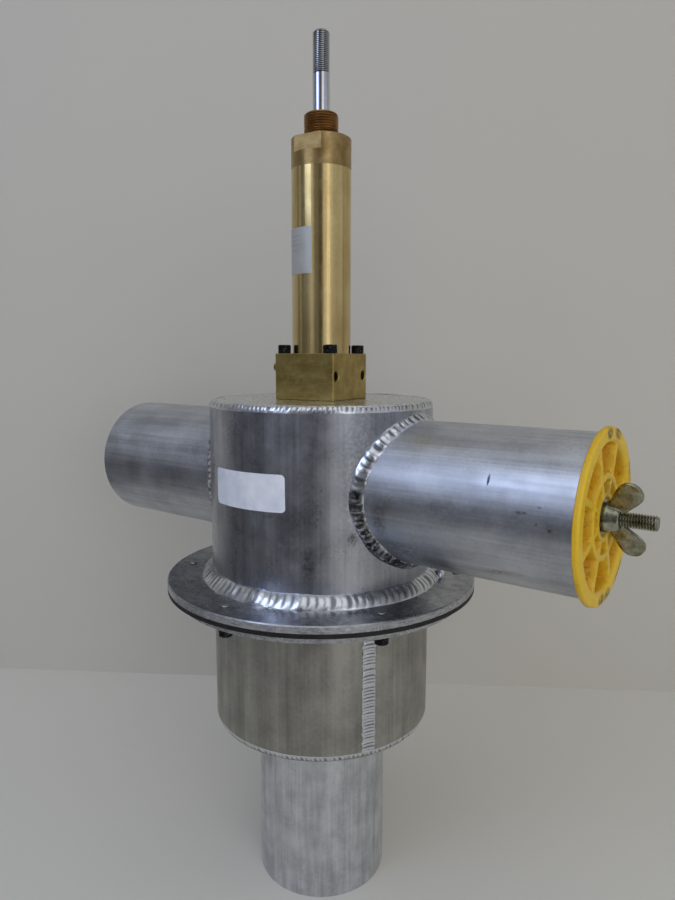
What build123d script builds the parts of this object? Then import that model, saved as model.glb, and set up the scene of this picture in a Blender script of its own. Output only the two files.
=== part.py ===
from build123d import *

import math
import os

# Air-operated lift valve for 4 inch tube, in millimetres. Two welded aluminium cans
# are bolted together at a flange pair. Tubes leave to both sides and downwards, and
# a brass air cylinder on top lifts a rubber-faced disc off a seat over the lower tube.
# +Z is up along the valve's axis and +X is along the side tube that carries the plug.
# The origin is the centre of the lower tube's open end, which the valve stands on.

# ---- Driving dimensions ---------------------------------------------------------

# Tubes that the valve joins
pipe_od = 101.6
pipe_wall = 3.2
lower_pipe_length = 133.2
port_margin_below = 22.05
port_margin_above = 7.05
left_pipe_reach = 212.0
right_pipe_reach = 213.0

# Lower can, rolled from sheet, a little smaller than the upper one
lower_can_step = 1.0
lower_can_wall = 3.2
lower_can_height = 95.5
lower_plate_thickness = 4.8

# Flange pair, with its widths measured from the upper can's wall
upper_flange_width = 34.5
lower_flange_set_back = 7.0
lower_flange_thickness = 6.1
gasket_thickness = 3.2
upper_flange_thickness = 5.2
gasket_set_back = 3.0
flange_screw_offset = 20.5
flange_screw_count = 6
flange_screw_turn = 30.0
flange_screw_stand_out = 0.8

# Upper can
upper_can_od = 171.0
upper_can_wall = 3.2
top_plate_thickness = 4.8
edge_lap = 1.4

# Weld beads
fillet_leg = 8.0
small_fillet_leg = 5.0
saddle_leg = 5.0
weld_step_depth = 0.6
weld_step_margin = 1.5
seam_width = 8.0
seam_rise = 1.2
lower_seam_turn = -27.7
upper_seam_turn = 90.0

# Quarter-inch socket screws
screw_diameter = 6.35
screw_head_diameter = 9.53
screw_head_height = 6.35
socket_across_flats = 4.76
socket_depth = 3.2
screw_hole_clearance = 0.15
thread_clearance = 0.05

# Valve seat and disc
seat_thickness = 5.0
seat_lip_height = 1.5
seat_lip_width = 2.5
seat_bore_step = 3.1
seat_overlap = 8.4
facing_thickness = 6.0
facing_margin = 4.5
disc_thickness = 6.5
disc_margin = 4.0
washer_diameter = 76.0
washer_thickness = 5.0
rod_nut_across_flats = 19.05
rod_nut_height = 11.1
jam_nut_height = 8.0

# Piston rod
rod_diameter = 12.7
rod_thread_diameter = 12.38
rod_thread_length = 28.8
rod_tip_chamfer = 1.3
rod_stand_out = 56.9
rod_tail = 3.4
rod_clearance = 0.05
rod_passage_clearance = 0.4

# Cylinder base block
block_width = 50.8
block_height = 34.5
block_turn = 6.5
block_chamfer = 0.5
block_screw_offset = 20.3
side_hole_diameter = 7.0
side_hole_offset = 20.5
side_hole_height = 17.8
side_hole_chamfer = 0.8
port_hole_diameter = 9.8
port_hole_depth = 9.0
port_hole_height = 24.0
passage_diameter = 4.0
passage_radius = 14.0

# Cylinder tube and cap
tube_od = 44.45
tube_wall = 1.65
tube_length = 133.5
spigot_length = 8.0
spigot_clearance = 0.05
o_ring_section = 2.4
cap_height = 22.1
cap_flats_height = 11.6
cap_across_flats = 38.0
gland_thread_diameter = 22.0
gland_thread_length = 15.0
neck_diameter = 20.6
neck_length = 4.0
nose_diameter = 25.3
nose_length = 13.5
nose_chamfer = 1.2
vent_diameter = 2.4
vent_height = 6.0
vent_filter_diameter = 6.0
vent_filter_depth = 3.0

# Bushings and rod seals
bushing_wall = 1.7
lower_bushing_length = 28.0
upper_bushing_length = 27.0
rod_seal_height = 6.2
rod_seal_wall = 4.6
wiper_height = 4.0
wiper_wall = 2.6
wiper_lip = 1.2

# Piston and return spring
piston_length = 20.0
piston_gap = 6.0
piston_clearance = 0.12
piston_seal_width = 5.0
piston_seal_depth = 3.5
clip_thickness = 1.5
clip_groove_depth = 0.7
clip_diameter = 19.0
spring_wire = 2.8
spring_diameter = 28.0
spring_turns = 9.0
spring_end_gap = 0.05

# Air fitting
fitting_across_flats = 12.7
fitting_hex_length = 6.0
fitting_barb_diameter = 8.0
fitting_barb_length = 12.0
fitting_bore = 3.2

# Expansion plug in the right-hand tube
plug_rim_overhang = 3.8
plug_rim_thickness = 4.0
plug_rim_rounding = 1.2
plug_spigot_length = 16.0
plug_spigot_clearance = 1.0
plug_face_set_back = 1.0
pocket_floor_depth = 11.0
pocket_corner = 2.0
outer_pocket_inner_diameter = 54.0
outer_pocket_outer_diameter = 90.0
inner_pocket_inner_diameter = 31.0
inner_pocket_outer_diameter = 45.0
rib_count = 8
rib_thickness = 4.0
hub_recess_diameter = 24.0
hub_recess_depth = 4.0
plug_ring_length = 16.0
plug_ring_clearance = 0.4
plug_ring_bore = 60.0
inner_disc_thickness = 9.0
inner_disc_clearance = 1.6
bolt_diameter = 9.53
bolt_stand_out = 32.4
bolt_head_across_flats = 14.3
bolt_head_height = 6.2
bolt_clearance = 0.08
plug_washer_diameter = 22.0
plug_washer_thickness = 2.0

# Wing nut
wing_nut_hub_diameter = 18.5
wing_nut_hub_height = 10.0
wing_nut_hub_taper = 2.0
wing_thickness = 3.4
wing_tip_radius = 7.6
wing_tip_offset = 18.4
wing_tip_height = 14.6
wing_root_radius = 4.0
wing_root_offset = 6.0
wing_root_height = 4.6
wing_turn = 22.0
wing_edge_rounding = 1.0

# Labels
label_thickness = 0.2
can_label_width = 66.4
can_label_height = 25.9
can_label_corner = 3.0
can_label_turn = -90.8
can_label_middle = 76.4
can_label_tilt = 0.8
tube_label_width = 31.0
tube_label_height = 33.0
tube_label_corner = 0.8
tube_label_turn = -110.0
tube_label_middle = 74.3

# ---- Heights and radii that follow ----------------------------------------------

pipe_r = pipe_od / 2
pipe_bore_r = pipe_r - pipe_wall
lower_can_r = upper_can_od / 2 - lower_can_step
lower_can_bore_r = lower_can_r - lower_can_wall
upper_can_r = upper_can_od / 2
upper_can_height = port_margin_below + pipe_od + port_margin_above
upper_can_bore_r = upper_can_r - upper_can_wall

lower_plate_top = lower_pipe_length + lower_plate_thickness
lower_flange_bottom = lower_plate_top + lower_can_height
lower_flange_top = lower_flange_bottom + lower_flange_thickness
gasket_top = lower_flange_top + gasket_thickness
upper_flange_top = gasket_top + upper_flange_thickness
upper_flange_r = upper_can_r + upper_flange_width
lower_flange_r = upper_flange_r - lower_flange_set_back
flange_screw_circle_r = upper_can_r + flange_screw_offset
port_height = upper_flange_top + port_margin_below + pipe_r
upper_can_top = upper_flange_top + upper_can_height
top_plate_top = upper_can_top + top_plate_thickness

block_top = top_plate_top + block_height
tube_r = tube_od / 2
tube_bore_r = tube_r - tube_wall
tube_top = block_top + tube_length
cap_top = tube_top + cap_height
neck_top = cap_top + neck_length
nose_top = neck_top + nose_length
spigot_r = tube_bore_r - spigot_clearance

rod_r = rod_diameter / 2
rod_top = nose_top + rod_stand_out
rod_passage_r = rod_r + rod_passage_clearance
bushing_bore_r = rod_r + rod_clearance
bushing_r = bushing_bore_r + bushing_wall

seat_top = lower_plate_top + seat_thickness
facing_bottom = seat_top + seat_lip_height
facing_top = facing_bottom + facing_thickness
disc_top = facing_top + disc_thickness
seat_lip_inner_r = pipe_bore_r - seat_bore_step / 2
seat_lip_outer_r = seat_lip_inner_r + seat_lip_width
washer_bottom = facing_bottom - washer_thickness
lock_nut_bottom = washer_bottom - rod_nut_height
rod_bottom = lock_nut_bottom - rod_tail

piston_bottom = block_top + spigot_length + piston_gap
piston_top = piston_bottom + piston_length
piston_r = tube_bore_r - piston_clearance
cap_spigot_bottom = tube_top - spigot_length

screw_r = screw_diameter / 2
screw_head_r = screw_head_diameter / 2
screw_hole_r = screw_r + screw_hole_clearance
thread_hole_r = screw_r + thread_clearance


# ---- Shapes ---------------------------------------------------------------------


def ring(outer_r, inner_r, bottom, top):
    """A round plate or tube on the valve's axis."""
    height = top - bottom
    middle = Pos(0, 0, (bottom + top) / 2)
    return middle * (Cylinder(outer_r, height) - Cylinder(inner_r, height))


def rod(radius, bottom, top):
    """A plain round bar on the valve's axis."""
    return Pos(0, 0, (bottom + top) / 2) * Cylinder(radius, top - bottom)


def turned(*outline):
    """The solid that (radius, height) corners sweep about the valve's axis."""
    section = make_face(Polyline(*outline, close=True))
    return revolve(Plane.XZ * section, Axis.Z)


def hex_bar(across_flats, bottom, top):
    """A hexagonal bar on the valve's axis."""
    outline = RegularPolygon(across_flats / 2, 6, major_radius=False)
    return Pos(0, 0, bottom) * extrude(outline, top - bottom)


def along_x(shape):
    """Lays a shape made about +Z along the side tubes' axis, pointing to +X."""
    return Pos(0, 0, port_height) * Rot(0, 90, 0) * shape


def on_circle(radius, count, first_turn):
    """Places, evenly spaced round the valve's axis."""
    turns = [first_turn + 360 * index / count for index in range(count)]
    return [Rot(0, 0, turn) * Pos(radius, 0, 0) for turn in turns]


def group(shapes):
    """Separate solids that share one node."""
    return Compound(children=[solid for shape in shapes for solid in shape.solids()])


def corners_of_block(offset):
    """Places of the four block screws."""
    signs = [(1, 1), (-1, 1), (-1, -1), (1, -1)]
    return [Rot(0, 0, block_turn) * Pos(x * offset, y * offset, 0) for x, y in signs]


def socket_screw(under_head, tip):
    """A socket-head screw on the valve's axis, with its head above under_head."""
    head_top = under_head + screw_head_height
    shank = rod(screw_r, tip, under_head)
    head = rod(screw_head_r, under_head, head_top)
    head = chamfer(head.edges().group_by(Axis.Z)[-1], 0.5)
    socket = hex_bar(socket_across_flats, head_top - socket_depth, head_top)
    return shank + head - socket


# ---- Lower tube, seat and lower can ----------------------------------------------


def make_lower_pipe():
    """The end that meets the can is bevelled for its weld."""
    bevel = pipe_wall * 0.7
    shoulder = lower_pipe_length - small_fillet_leg
    return turned(
        (pipe_bore_r, 0),
        (pipe_r, 0),
        (pipe_r, shoulder),
        (pipe_r - bevel, lower_pipe_length),
        (pipe_bore_r, lower_pipe_length),
    )


def make_lower_pipe_weld():
    bevel = pipe_wall * 0.7
    shoulder = lower_pipe_length - small_fillet_leg
    return turned(
        (pipe_r, shoulder),
        (pipe_r + small_fillet_leg, lower_pipe_length),
        (pipe_r - bevel, lower_pipe_length),
    )


def make_lower_plate():
    outer_r = lower_can_bore_r + edge_lap
    return ring(outer_r, pipe_bore_r, lower_pipe_length, lower_plate_top)


def make_lower_edge_weld():
    inner_r = lower_can_bore_r + edge_lap
    return turned(
        (inner_r, lower_pipe_length),
        (lower_can_r - edge_lap / 2, lower_pipe_length),
        (lower_can_r, lower_pipe_length + edge_lap),
        (lower_can_r, lower_plate_top),
        (inner_r, lower_plate_top),
    )


def make_lower_can():
    return ring(lower_can_r, lower_can_bore_r, lower_plate_top, lower_flange_bottom)


def make_seat_ring():
    spigot_outer_r = pipe_bore_r - spigot_clearance
    bore_r = spigot_outer_r - seat_bore_step
    return turned(
        (bore_r, lower_pipe_length),
        (spigot_outer_r, lower_pipe_length),
        (spigot_outer_r, lower_plate_top),
        (pipe_bore_r + seat_overlap, lower_plate_top),
        (pipe_bore_r + seat_overlap, seat_top),
        (seat_lip_outer_r, seat_top),
        (seat_lip_outer_r, facing_bottom),
        (seat_lip_inner_r, facing_bottom),
        (seat_lip_inner_r, seat_top),
        (bore_r, seat_top),
    )


def fillet_ring(can_r, face, leg):
    """A fillet weld in the corner of a can and a flange; a negative leg is below it."""
    return turned((can_r, face), (can_r + abs(leg), face), (can_r, face + leg))


def seam(can_r, bottom, top, turn):
    """A flat bead up the side of a rolled can."""
    sleeve = ring(can_r + seam_rise, can_r, bottom, top)
    strip = Pos(can_r, 0, (bottom + top) / 2) * Box(20, seam_width, top - bottom)
    return sleeve & (Rot(0, 0, turn) * strip)


def make_seam_welds():
    lower = seam(
        lower_can_r,
        lower_plate_top,
        lower_flange_bottom - small_fillet_leg,
        lower_seam_turn,
    )
    upper = seam(
        upper_can_r,
        upper_flange_top + fillet_leg,
        upper_can_top,
        upper_seam_turn,
    )
    return group([lower, upper])


# ---- Flange pair ------------------------------------------------------------------


def flange_places():
    return on_circle(flange_screw_circle_r, flange_screw_count, flange_screw_turn)


def drilled(plate, hole_r, bottom, top):
    """A plate with the flange screws' holes through it."""
    for place in flange_places():
        plate -= place * rod(hole_r, bottom, top)
    return plate


def make_lower_flange():
    plate = ring(
        lower_flange_r, lower_can_bore_r, lower_flange_bottom, lower_flange_top
    )
    return drilled(plate, screw_hole_r, lower_flange_bottom, lower_flange_top)


def make_gasket():
    inner_r = max(lower_can_bore_r, upper_can_bore_r) + gasket_set_back
    plate = ring(upper_flange_r, inner_r, lower_flange_top, gasket_top)
    return drilled(plate, screw_hole_r, lower_flange_top, gasket_top)


def make_upper_flange():
    plate = ring(upper_flange_r, upper_can_bore_r, gasket_top, upper_flange_top)
    plate = drilled(plate, thread_hole_r, gasket_top, upper_flange_top)
    top_edge = plate.edges().filter_by(GeomType.CIRCLE).group_by(Axis.Z)[-1].sort_by(
        SortBy.RADIUS
    )[-1]
    return chamfer(top_edge, 0.8)


def make_flange_screws():
    """Six screws, put in from below, that end just proud of the upper flange."""
    tip = upper_flange_top + flange_screw_stand_out
    upright = socket_screw(-lower_flange_bottom, -tip)
    screw = Rot(180, 0, 0) * upright
    return group([place * screw for place in flange_places()])


# ---- Upper can and side tubes -----------------------------------------------------


def make_upper_can():
    shell = ring(upper_can_r, upper_can_bore_r, upper_flange_top, upper_can_top)
    across = along_x(Cylinder(pipe_bore_r, upper_can_od + 2 * pipe_od))
    return shell - across


def make_side_pipe(reach, side):
    """A tube cut to sit on the round can, and turned down a little under its weld."""
    step_end = upper_can_r + saddle_leg + weld_step_margin
    turn = Rot(0, 90 * side, 0)
    tube = ring(pipe_r, pipe_bore_r, 0, reach)
    tube -= ring(pipe_od, pipe_r - weld_step_depth, 0, step_end)
    tube = Pos(0, 0, port_height) * turn * tube
    return tube - rod(upper_can_r, upper_flange_top, upper_can_top)


def make_saddle_weld(side):
    """The bead round a side tube where it meets the can."""
    reach = upper_can_r + saddle_leg
    collar = ring(pipe_r + saddle_leg, pipe_r - weld_step_depth, 0, reach)
    collar = Pos(0, 0, port_height) * Rot(0, 90 * side, 0) * collar
    height = 2 * (pipe_r + saddle_leg)
    around = Pos(0, 0, port_height) * Cylinder(reach, height)
    can = Pos(0, 0, port_height) * Cylinder(upper_can_r, height)
    return (collar & around) - can


def make_top_plate():
    outer_r = upper_can_bore_r + edge_lap
    plate = ring(outer_r, rod_passage_r, upper_can_top, top_plate_top)
    for place in corners_of_block(block_screw_offset):
        plate -= place * rod(thread_hole_r, upper_can_top, top_plate_top)
    return plate


def make_top_edge_weld():
    inner_r = upper_can_bore_r + edge_lap
    return turned(
        (inner_r, upper_can_top),
        (upper_can_r, upper_can_top),
        (upper_can_r, top_plate_top - edge_lap),
        (upper_can_r - edge_lap / 2, top_plate_top),
        (inner_r, top_plate_top),
    )


# ---- Air cylinder -----------------------------------------------------------------


def make_base_block():
    """A square block with a round spigot that the tube fits over."""
    middle = (top_plate_top + block_top) / 2
    block = Pos(0, 0, middle) * Box(block_width, block_width, block_height)
    block = chamfer(block.edges(), block_chamfer)
    block += rod(spigot_r, block_top, block_top + spigot_length)

    spigot_top = block_top + spigot_length
    block -= rod(rod_passage_r, top_plate_top, spigot_top)
    block -= rod(bushing_r, spigot_top - lower_bushing_length, spigot_top)
    seal_r = bushing_bore_r + rod_seal_wall
    block -= rod(seal_r, top_plate_top, top_plate_top + rod_seal_height)

    groove_middle = block_top + spigot_length / 2
    block -= o_ring_groove(groove_middle)

    hole_height = top_plate_top + side_hole_height
    for side in (-1, 1):
        lane = Pos(0, side * side_hole_offset, hole_height) * Rot(0, 90, 0)
        block -= lane * Cylinder(side_hole_diameter / 2, block_width)
        for end in (-1, 1):
            mouth_r = side_hole_diameter / 2 + side_hole_chamfer
            cone = Cone(side_hole_diameter / 2, mouth_r, side_hole_chamfer)
            mouth = Pos(block_width / 2 - side_hole_chamfer / 2, 0, 0) * Rot(0, 90, 0)
            turn = Rot(0, 0, 0 if end == 1 else 180)
            block -= Pos(0, side * side_hole_offset, hole_height) * turn * mouth * cone

    air_height = top_plate_top + port_hole_height
    port = Pos(-block_width / 2 + port_hole_depth / 2, 0, air_height) * Rot(0, 90, 0)
    block -= port * Cylinder(port_hole_diameter / 2, port_hole_depth)
    cross_length = block_width / 2 - passage_radius
    cross = Pos(-block_width / 2 + cross_length / 2, 0, air_height) * Rot(0, 90, 0)
    block -= cross * Cylinder(passage_diameter / 2, cross_length)
    rise = Pos(-passage_radius, 0, 0) * rod(
        passage_diameter / 2, air_height, spigot_top
    )
    block -= rise

    block = Rot(0, 0, block_turn) * block
    for place in corners_of_block(block_screw_offset):
        block -= place * rod(screw_hole_r, top_plate_top, block_top)
    return block


def o_ring_groove(middle):
    """A groove as deep as the ring that fills it, in a spigot inside the tube."""
    bottom_r = tube_bore_r - o_ring_section
    half = o_ring_section * 0.6
    return ring(tube_bore_r, bottom_r, middle - half, middle + half)


def make_o_ring(middle):
    section_r = o_ring_section / 2
    return Pos(0, 0, middle) * Torus(tube_bore_r - section_r, section_r)


def make_block_screws():
    screw = socket_screw(block_top, upper_can_top)
    return group([place * screw for place in corners_of_block(block_screw_offset)])


def make_rod_seal():
    seal_r = bushing_bore_r + rod_seal_wall
    return ring(seal_r, bushing_bore_r, top_plate_top, top_plate_top + rod_seal_height)


def make_lower_bushing():
    top = block_top + spigot_length
    return ring(bushing_r, bushing_bore_r, top - lower_bushing_length, top)


def make_tube():
    return ring(tube_r, tube_bore_r, block_top, tube_top)


def make_cap():
    """End cap with a spigot, wrench flats and a threaded hole for the gland."""
    cap = turned(
        (0, cap_spigot_bottom),
        (spigot_r, cap_spigot_bottom),
        (spigot_r, tube_top),
        (tube_r, tube_top),
        (tube_r, cap_top - 0.6),
        (tube_r - 0.6, cap_top),
        (0, cap_top),
    )
    flat_middle = cap_top - cap_flats_height / 2
    for side in (-1, 1):
        beyond = Pos(0, side * (cap_across_flats / 2 + tube_r), flat_middle)
        cap -= beyond * Box(tube_od, tube_od, cap_flats_height)

    cap -= rod(rod_passage_r, cap_spigot_bottom, cap_top)
    gland_hole_r = gland_thread_diameter / 2 + thread_clearance
    cap -= rod(gland_hole_r, cap_top - gland_thread_length, cap_top)
    cap -= o_ring_groove(tube_top - spigot_length / 2)

    height = cap_top - vent_height
    cap -= Pos(0, passage_radius, 0) * rod(vent_diameter / 2, cap_spigot_bottom, height)
    across = cap_across_flats / 2
    length = across - passage_radius
    bore = Pos(0, passage_radius + length / 2, height) * Rot(90, 0, 0)
    cap -= bore * Cylinder(vent_diameter / 2, length)
    cap -= filter_place() * Cylinder(vent_filter_diameter / 2, vent_filter_depth)
    return Rot(0, 0, block_turn) * cap


def make_gland():
    """The bronze gland that holds the upper bushing and ends in the threaded nose."""
    bottom = cap_top - gland_thread_length
    gland = turned(
        (0, bottom),
        (gland_thread_diameter / 2, bottom),
        (gland_thread_diameter / 2, cap_top),
        (neck_diameter / 2, cap_top),
        (neck_diameter / 2, neck_top),
        (nose_diameter / 2, neck_top),
        (nose_diameter / 2, nose_top - nose_chamfer),
        (nose_diameter / 2 - nose_chamfer, nose_top),
        (0, nose_top),
    )
    gland -= rod(rod_passage_r, bottom, nose_top)
    bushing_top = nose_top - wiper_height
    gland -= rod(bushing_r, bushing_top - upper_bushing_length, bushing_top)
    return gland - rod(bushing_bore_r + wiper_wall, bushing_top, nose_top)


def filter_place():
    """Middle of the vent filter, before the cap takes the block's turn."""
    middle = cap_across_flats / 2 - vent_filter_depth / 2
    return Pos(0, middle, cap_top - vent_height) * Rot(90, 0, 0)


def make_vent_filter():
    body = filter_place() * Cylinder(vent_filter_diameter / 2, vent_filter_depth)
    return Rot(0, 0, block_turn) * body


def make_upper_bushing():
    top = nose_top - wiper_height
    return ring(bushing_r, bushing_bore_r, top - upper_bushing_length, top)


def make_rod_wiper():
    """A scraper ring with a lip that stands out of the nose."""
    bottom = nose_top - wiper_height
    wiper_r = bushing_bore_r + wiper_wall
    return turned(
        (bushing_bore_r, bottom),
        (wiper_r, bottom),
        (wiper_r, nose_top),
        (bushing_bore_r + wiper_wall / 2, nose_top + wiper_lip),
        (bushing_bore_r, nose_top + wiper_lip),
    )


def make_air_fitting():
    """A hose fitting screwed into the port on the block's left side."""
    thread_r = port_hole_diameter / 2 - thread_clearance
    hex_top = port_hole_depth + fitting_hex_length
    tip = hex_top + fitting_barb_length
    barb_r = fitting_barb_diameter / 2
    body = rod(thread_r, 0, port_hole_depth)
    body += hex_bar(fitting_across_flats, port_hole_depth, hex_top)
    body += rod(barb_r * 0.8, hex_top, tip - 1)
    for step in range(2):
        foot = hex_top + fitting_barb_length * (0.3 + 0.35 * step)
        cone = Cone(barb_r, barb_r * 0.8, fitting_barb_length * 0.3)
        body += Pos(0, 0, foot + fitting_barb_length * 0.15) * cone
    body -= rod(fitting_bore / 2, 0, tip)
    inner_end = block_width / 2 - port_hole_depth
    height = top_plate_top + port_hole_height
    place = Rot(0, 0, block_turn) * Pos(-inner_end, 0, height) * Rot(0, -90, 0)
    return place * body


# ---- Piston, rod and valve disc ---------------------------------------------------


def make_piston_rod():
    """One bar through the cylinder, with threaded ends and two clip grooves."""
    thread_r = rod_thread_diameter / 2
    groove_r = rod_r - clip_groove_depth
    lower_thread_top = disc_top + jam_nut_height
    return turned(
        (0, rod_bottom),
        (thread_r - rod_tip_chamfer, rod_bottom),
        (thread_r, rod_bottom + rod_tip_chamfer),
        (thread_r, lower_thread_top),
        (rod_r, lower_thread_top),
        (rod_r, piston_bottom - clip_thickness),
        (groove_r, piston_bottom - clip_thickness),
        (groove_r, piston_bottom),
        (rod_r, piston_bottom),
        (rod_r, piston_top),
        (groove_r, piston_top),
        (groove_r, piston_top + clip_thickness),
        (rod_r, piston_top + clip_thickness),
        (rod_r, rod_top - rod_thread_length),
        (thread_r, rod_top - rod_thread_length),
        (thread_r, rod_top - rod_tip_chamfer),
        (thread_r - rod_tip_chamfer, rod_top),
        (0, rod_top),
    )


def make_piston():
    seal_middle = (piston_bottom + piston_top) / 2
    groove = ring(
        piston_r,
        piston_r - piston_seal_depth,
        seal_middle - piston_seal_width / 2,
        seal_middle + piston_seal_width / 2,
    )
    body = ring(piston_r, rod_r, piston_bottom, piston_top)
    rims = body.edges().filter_by(GeomType.CIRCLE).filter_by(
        lambda edge: edge.radius > rod_r + 1
    )
    return chamfer(rims, 0.8) - groove


def make_piston_seal():
    middle = (piston_bottom + piston_top) / 2
    return ring(
        tube_bore_r - rod_clearance,
        piston_r - piston_seal_depth,
        middle - piston_seal_width / 2,
        middle + piston_seal_width / 2,
    )


def make_piston_clips():
    groove_r = rod_r - clip_groove_depth
    clip_r = clip_diameter / 2
    below = ring(clip_r, groove_r, piston_bottom - clip_thickness, piston_bottom)
    above = ring(clip_r, groove_r, piston_top, piston_top + clip_thickness)
    return group([below, above])


def make_return_spring():
    """Stands on the piston and pushes the valve shut."""
    wire_r = spring_wire / 2
    bottom = piston_top + wire_r + spring_end_gap
    top = cap_spigot_bottom - wire_r - spring_end_gap
    coil_r = (spring_diameter - spring_wire) / 2
    path = Helix((top - bottom) / spring_turns, top - bottom, coil_r)
    section = Plane(path @ 0, z_dir=path % 0) * Circle(wire_r)
    return Pos(0, 0, bottom) * sweep(section, path, is_frenet=True)


def make_disc_facing():
    outer_r = seat_lip_outer_r + facing_margin
    return ring(outer_r, rod_thread_diameter / 2, facing_bottom, facing_top)


def make_valve_disc():
    outer_r = seat_lip_outer_r + facing_margin + disc_margin
    plate = ring(outer_r, rod_thread_diameter / 2, facing_top, disc_top)
    return chamfer(plate.edges().group_by(Axis.Z)[-1].sort_by(SortBy.RADIUS)[-1], 1.5)


def make_facing_washer():
    plate = ring(
        washer_diameter / 2, rod_thread_diameter / 2, washer_bottom, facing_bottom
    )
    return chamfer(plate.edges().group_by(Axis.Z)[0].sort_by(SortBy.RADIUS)[-1], 1.0)


def make_disc_nuts():
    lock = hex_bar(rod_nut_across_flats, lock_nut_bottom, washer_bottom)
    jam = hex_bar(rod_nut_across_flats, disc_top, disc_top + jam_nut_height)
    bore = rod(rod_thread_diameter / 2, lock_nut_bottom, disc_top + jam_nut_height)
    return group([lock - bore, jam - bore])


# ---- Expansion plug ---------------------------------------------------------------
# Made about +Z with heights measured from the valve's axis, then laid along +X.

rim_bottom = right_pipe_reach
rim_top = rim_bottom + plug_rim_thickness
plug_spigot_bottom = rim_bottom - plug_spigot_length
plug_face = rim_top - plug_face_set_back
hub_face = rim_top - hub_recess_depth
washer_face = hub_face + plug_washer_thickness
plug_ring_bottom = plug_spigot_bottom - plug_ring_length
inner_disc_bottom = plug_ring_bottom - inner_disc_thickness
bolt_r = bolt_diameter / 2
bolt_hole_r = bolt_r + bolt_clearance


def pocket(inner_r, outer_r, rib):
    """One recess between two ribs, centred on +X."""
    half = math.pi / rib_count
    reach = outer_r / math.cos(half)
    wedge = Polygon(
        (rib / 2 / math.sin(half), 0),
        (reach * math.cos(half) + rib, (reach + rib) * math.sin(half) - rib / 2),
        (reach * math.cos(half) + rib, -(reach + rib) * math.sin(half) + rib / 2),
        align=None,
    )
    outline = (Circle(outer_r) - Circle(inner_r)) & wedge
    outline = fillet(outline.vertices(), pocket_corner)
    depth = pocket_floor_depth
    return Pos(0, 0, rim_top - depth) * extrude(outline, depth)


def make_plug_disc():
    """A moulded flange with a hollow spigot, two rings of pockets and a hub."""
    spigot_outer_r = pipe_bore_r - plug_spigot_clearance
    rim_r = pipe_r + plug_rim_overhang
    land_r = outer_pocket_outer_diameter / 2 + 1
    body = turned(
        (bolt_hole_r, plug_spigot_bottom),
        (spigot_outer_r, plug_spigot_bottom),
        (spigot_outer_r, rim_bottom),
        (rim_r, rim_bottom),
        (rim_r, rim_top - plug_rim_rounding),
        (rim_r - plug_rim_rounding, rim_top),
        (land_r + 1, rim_top),
        (land_r, plug_face),
        (hub_recess_diameter / 2, plug_face),
        (hub_recess_diameter / 2, hub_face),
        (bolt_hole_r, hub_face),
    )
    rings = [
        (inner_pocket_inner_diameter / 2, inner_pocket_outer_diameter / 2),
        (outer_pocket_inner_diameter / 2, outer_pocket_outer_diameter / 2),
    ]
    for inner_r, outer_r in rings:
        recess = pocket(inner_r, outer_r, rib_thickness)
        for index in range(rib_count):
            body -= Rot(0, 0, 360 * index / rib_count) * recess
    return along_x(body)


def make_plug_washer():
    return along_x(ring(plug_washer_diameter / 2, bolt_hole_r, hub_face, washer_face))


def make_plug_ring():
    """The soft ring that swells against the tube when the nut is tightened."""
    outer_r = pipe_bore_r - plug_ring_clearance
    return along_x(
        ring(outer_r, plug_ring_bore / 2, plug_ring_bottom, plug_spigot_bottom)
    )


def make_inner_disc():
    outer_r = pipe_bore_r - inner_disc_clearance
    plate = ring(outer_r, bolt_r, inner_disc_bottom, plug_ring_bottom)
    return along_x(chamfer(plate.edges().group_by(Axis.Z)[0].sort_by(SortBy.RADIUS)[-1], 2))


def make_plug_bolt():
    tip = hub_face + bolt_stand_out
    bolt = turned(
        (0, inner_disc_bottom),
        (bolt_r, inner_disc_bottom),
        (bolt_r, tip - 1.0),
        (bolt_r - 1.0, tip),
        (0, tip),
    )
    head_bottom = inner_disc_bottom - bolt_head_height
    return along_x(bolt + hex_bar(bolt_head_across_flats, head_bottom, inner_disc_bottom))


def make_wing_nut():
    """A coned hub with two rounded wings."""
    hub_r = wing_nut_hub_diameter / 2
    hub_top = washer_face + wing_nut_hub_height
    nut = turned(
        (0, washer_face),
        (hub_r, washer_face),
        (hub_r, washer_face + 2),
        (hub_r - wing_nut_hub_taper, hub_top),
        (0, hub_top),
    )
    root = Pos(wing_root_offset, wing_root_height) * Circle(wing_root_radius)
    tip = Pos(wing_tip_offset, wing_tip_height) * Circle(wing_tip_radius)
    outline = make_hull((root + tip).edges())
    blade = extrude(Plane.XZ * outline, wing_thickness / 2, both=True)
    blade = fillet(blade.edges(), wing_edge_rounding)
    for turn in (0, 180):
        nut += Pos(0, 0, washer_face) * Rot(0, 0, turn) * blade
    nut -= rod(bolt_hole_r, washer_face, washer_face + wing_tip_height * 2)
    # The wings stand nearly upright: +X of the shape made above turns to +Z.
    return along_x(Rot(0, 0, 180 + wing_turn) * nut)


# ---- Labels -----------------------------------------------------------------------


def wrapped_label(surface_r, width, height, corner, turn, middle, tilt):
    """A thin rounded sheet stuck round a cylinder."""
    chord = 2 * surface_r * math.sin(width / surface_r / 2)
    outline = RectangleRounded(chord, height, corner)
    sheet = extrude(Plane.YZ * (Rot(0, 0, tilt) * outline), surface_r * 2)
    sleeve = ring(
        surface_r + label_thickness, surface_r, middle - height, middle + height
    )
    return sleeve & (Rot(0, 0, turn) * Pos(0, 0, middle) * sheet)


def make_can_label():
    return wrapped_label(
        upper_can_r,
        can_label_width,
        can_label_height,
        can_label_corner,
        can_label_turn,
        upper_flange_top + can_label_middle,
        can_label_tilt,
    )


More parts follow.
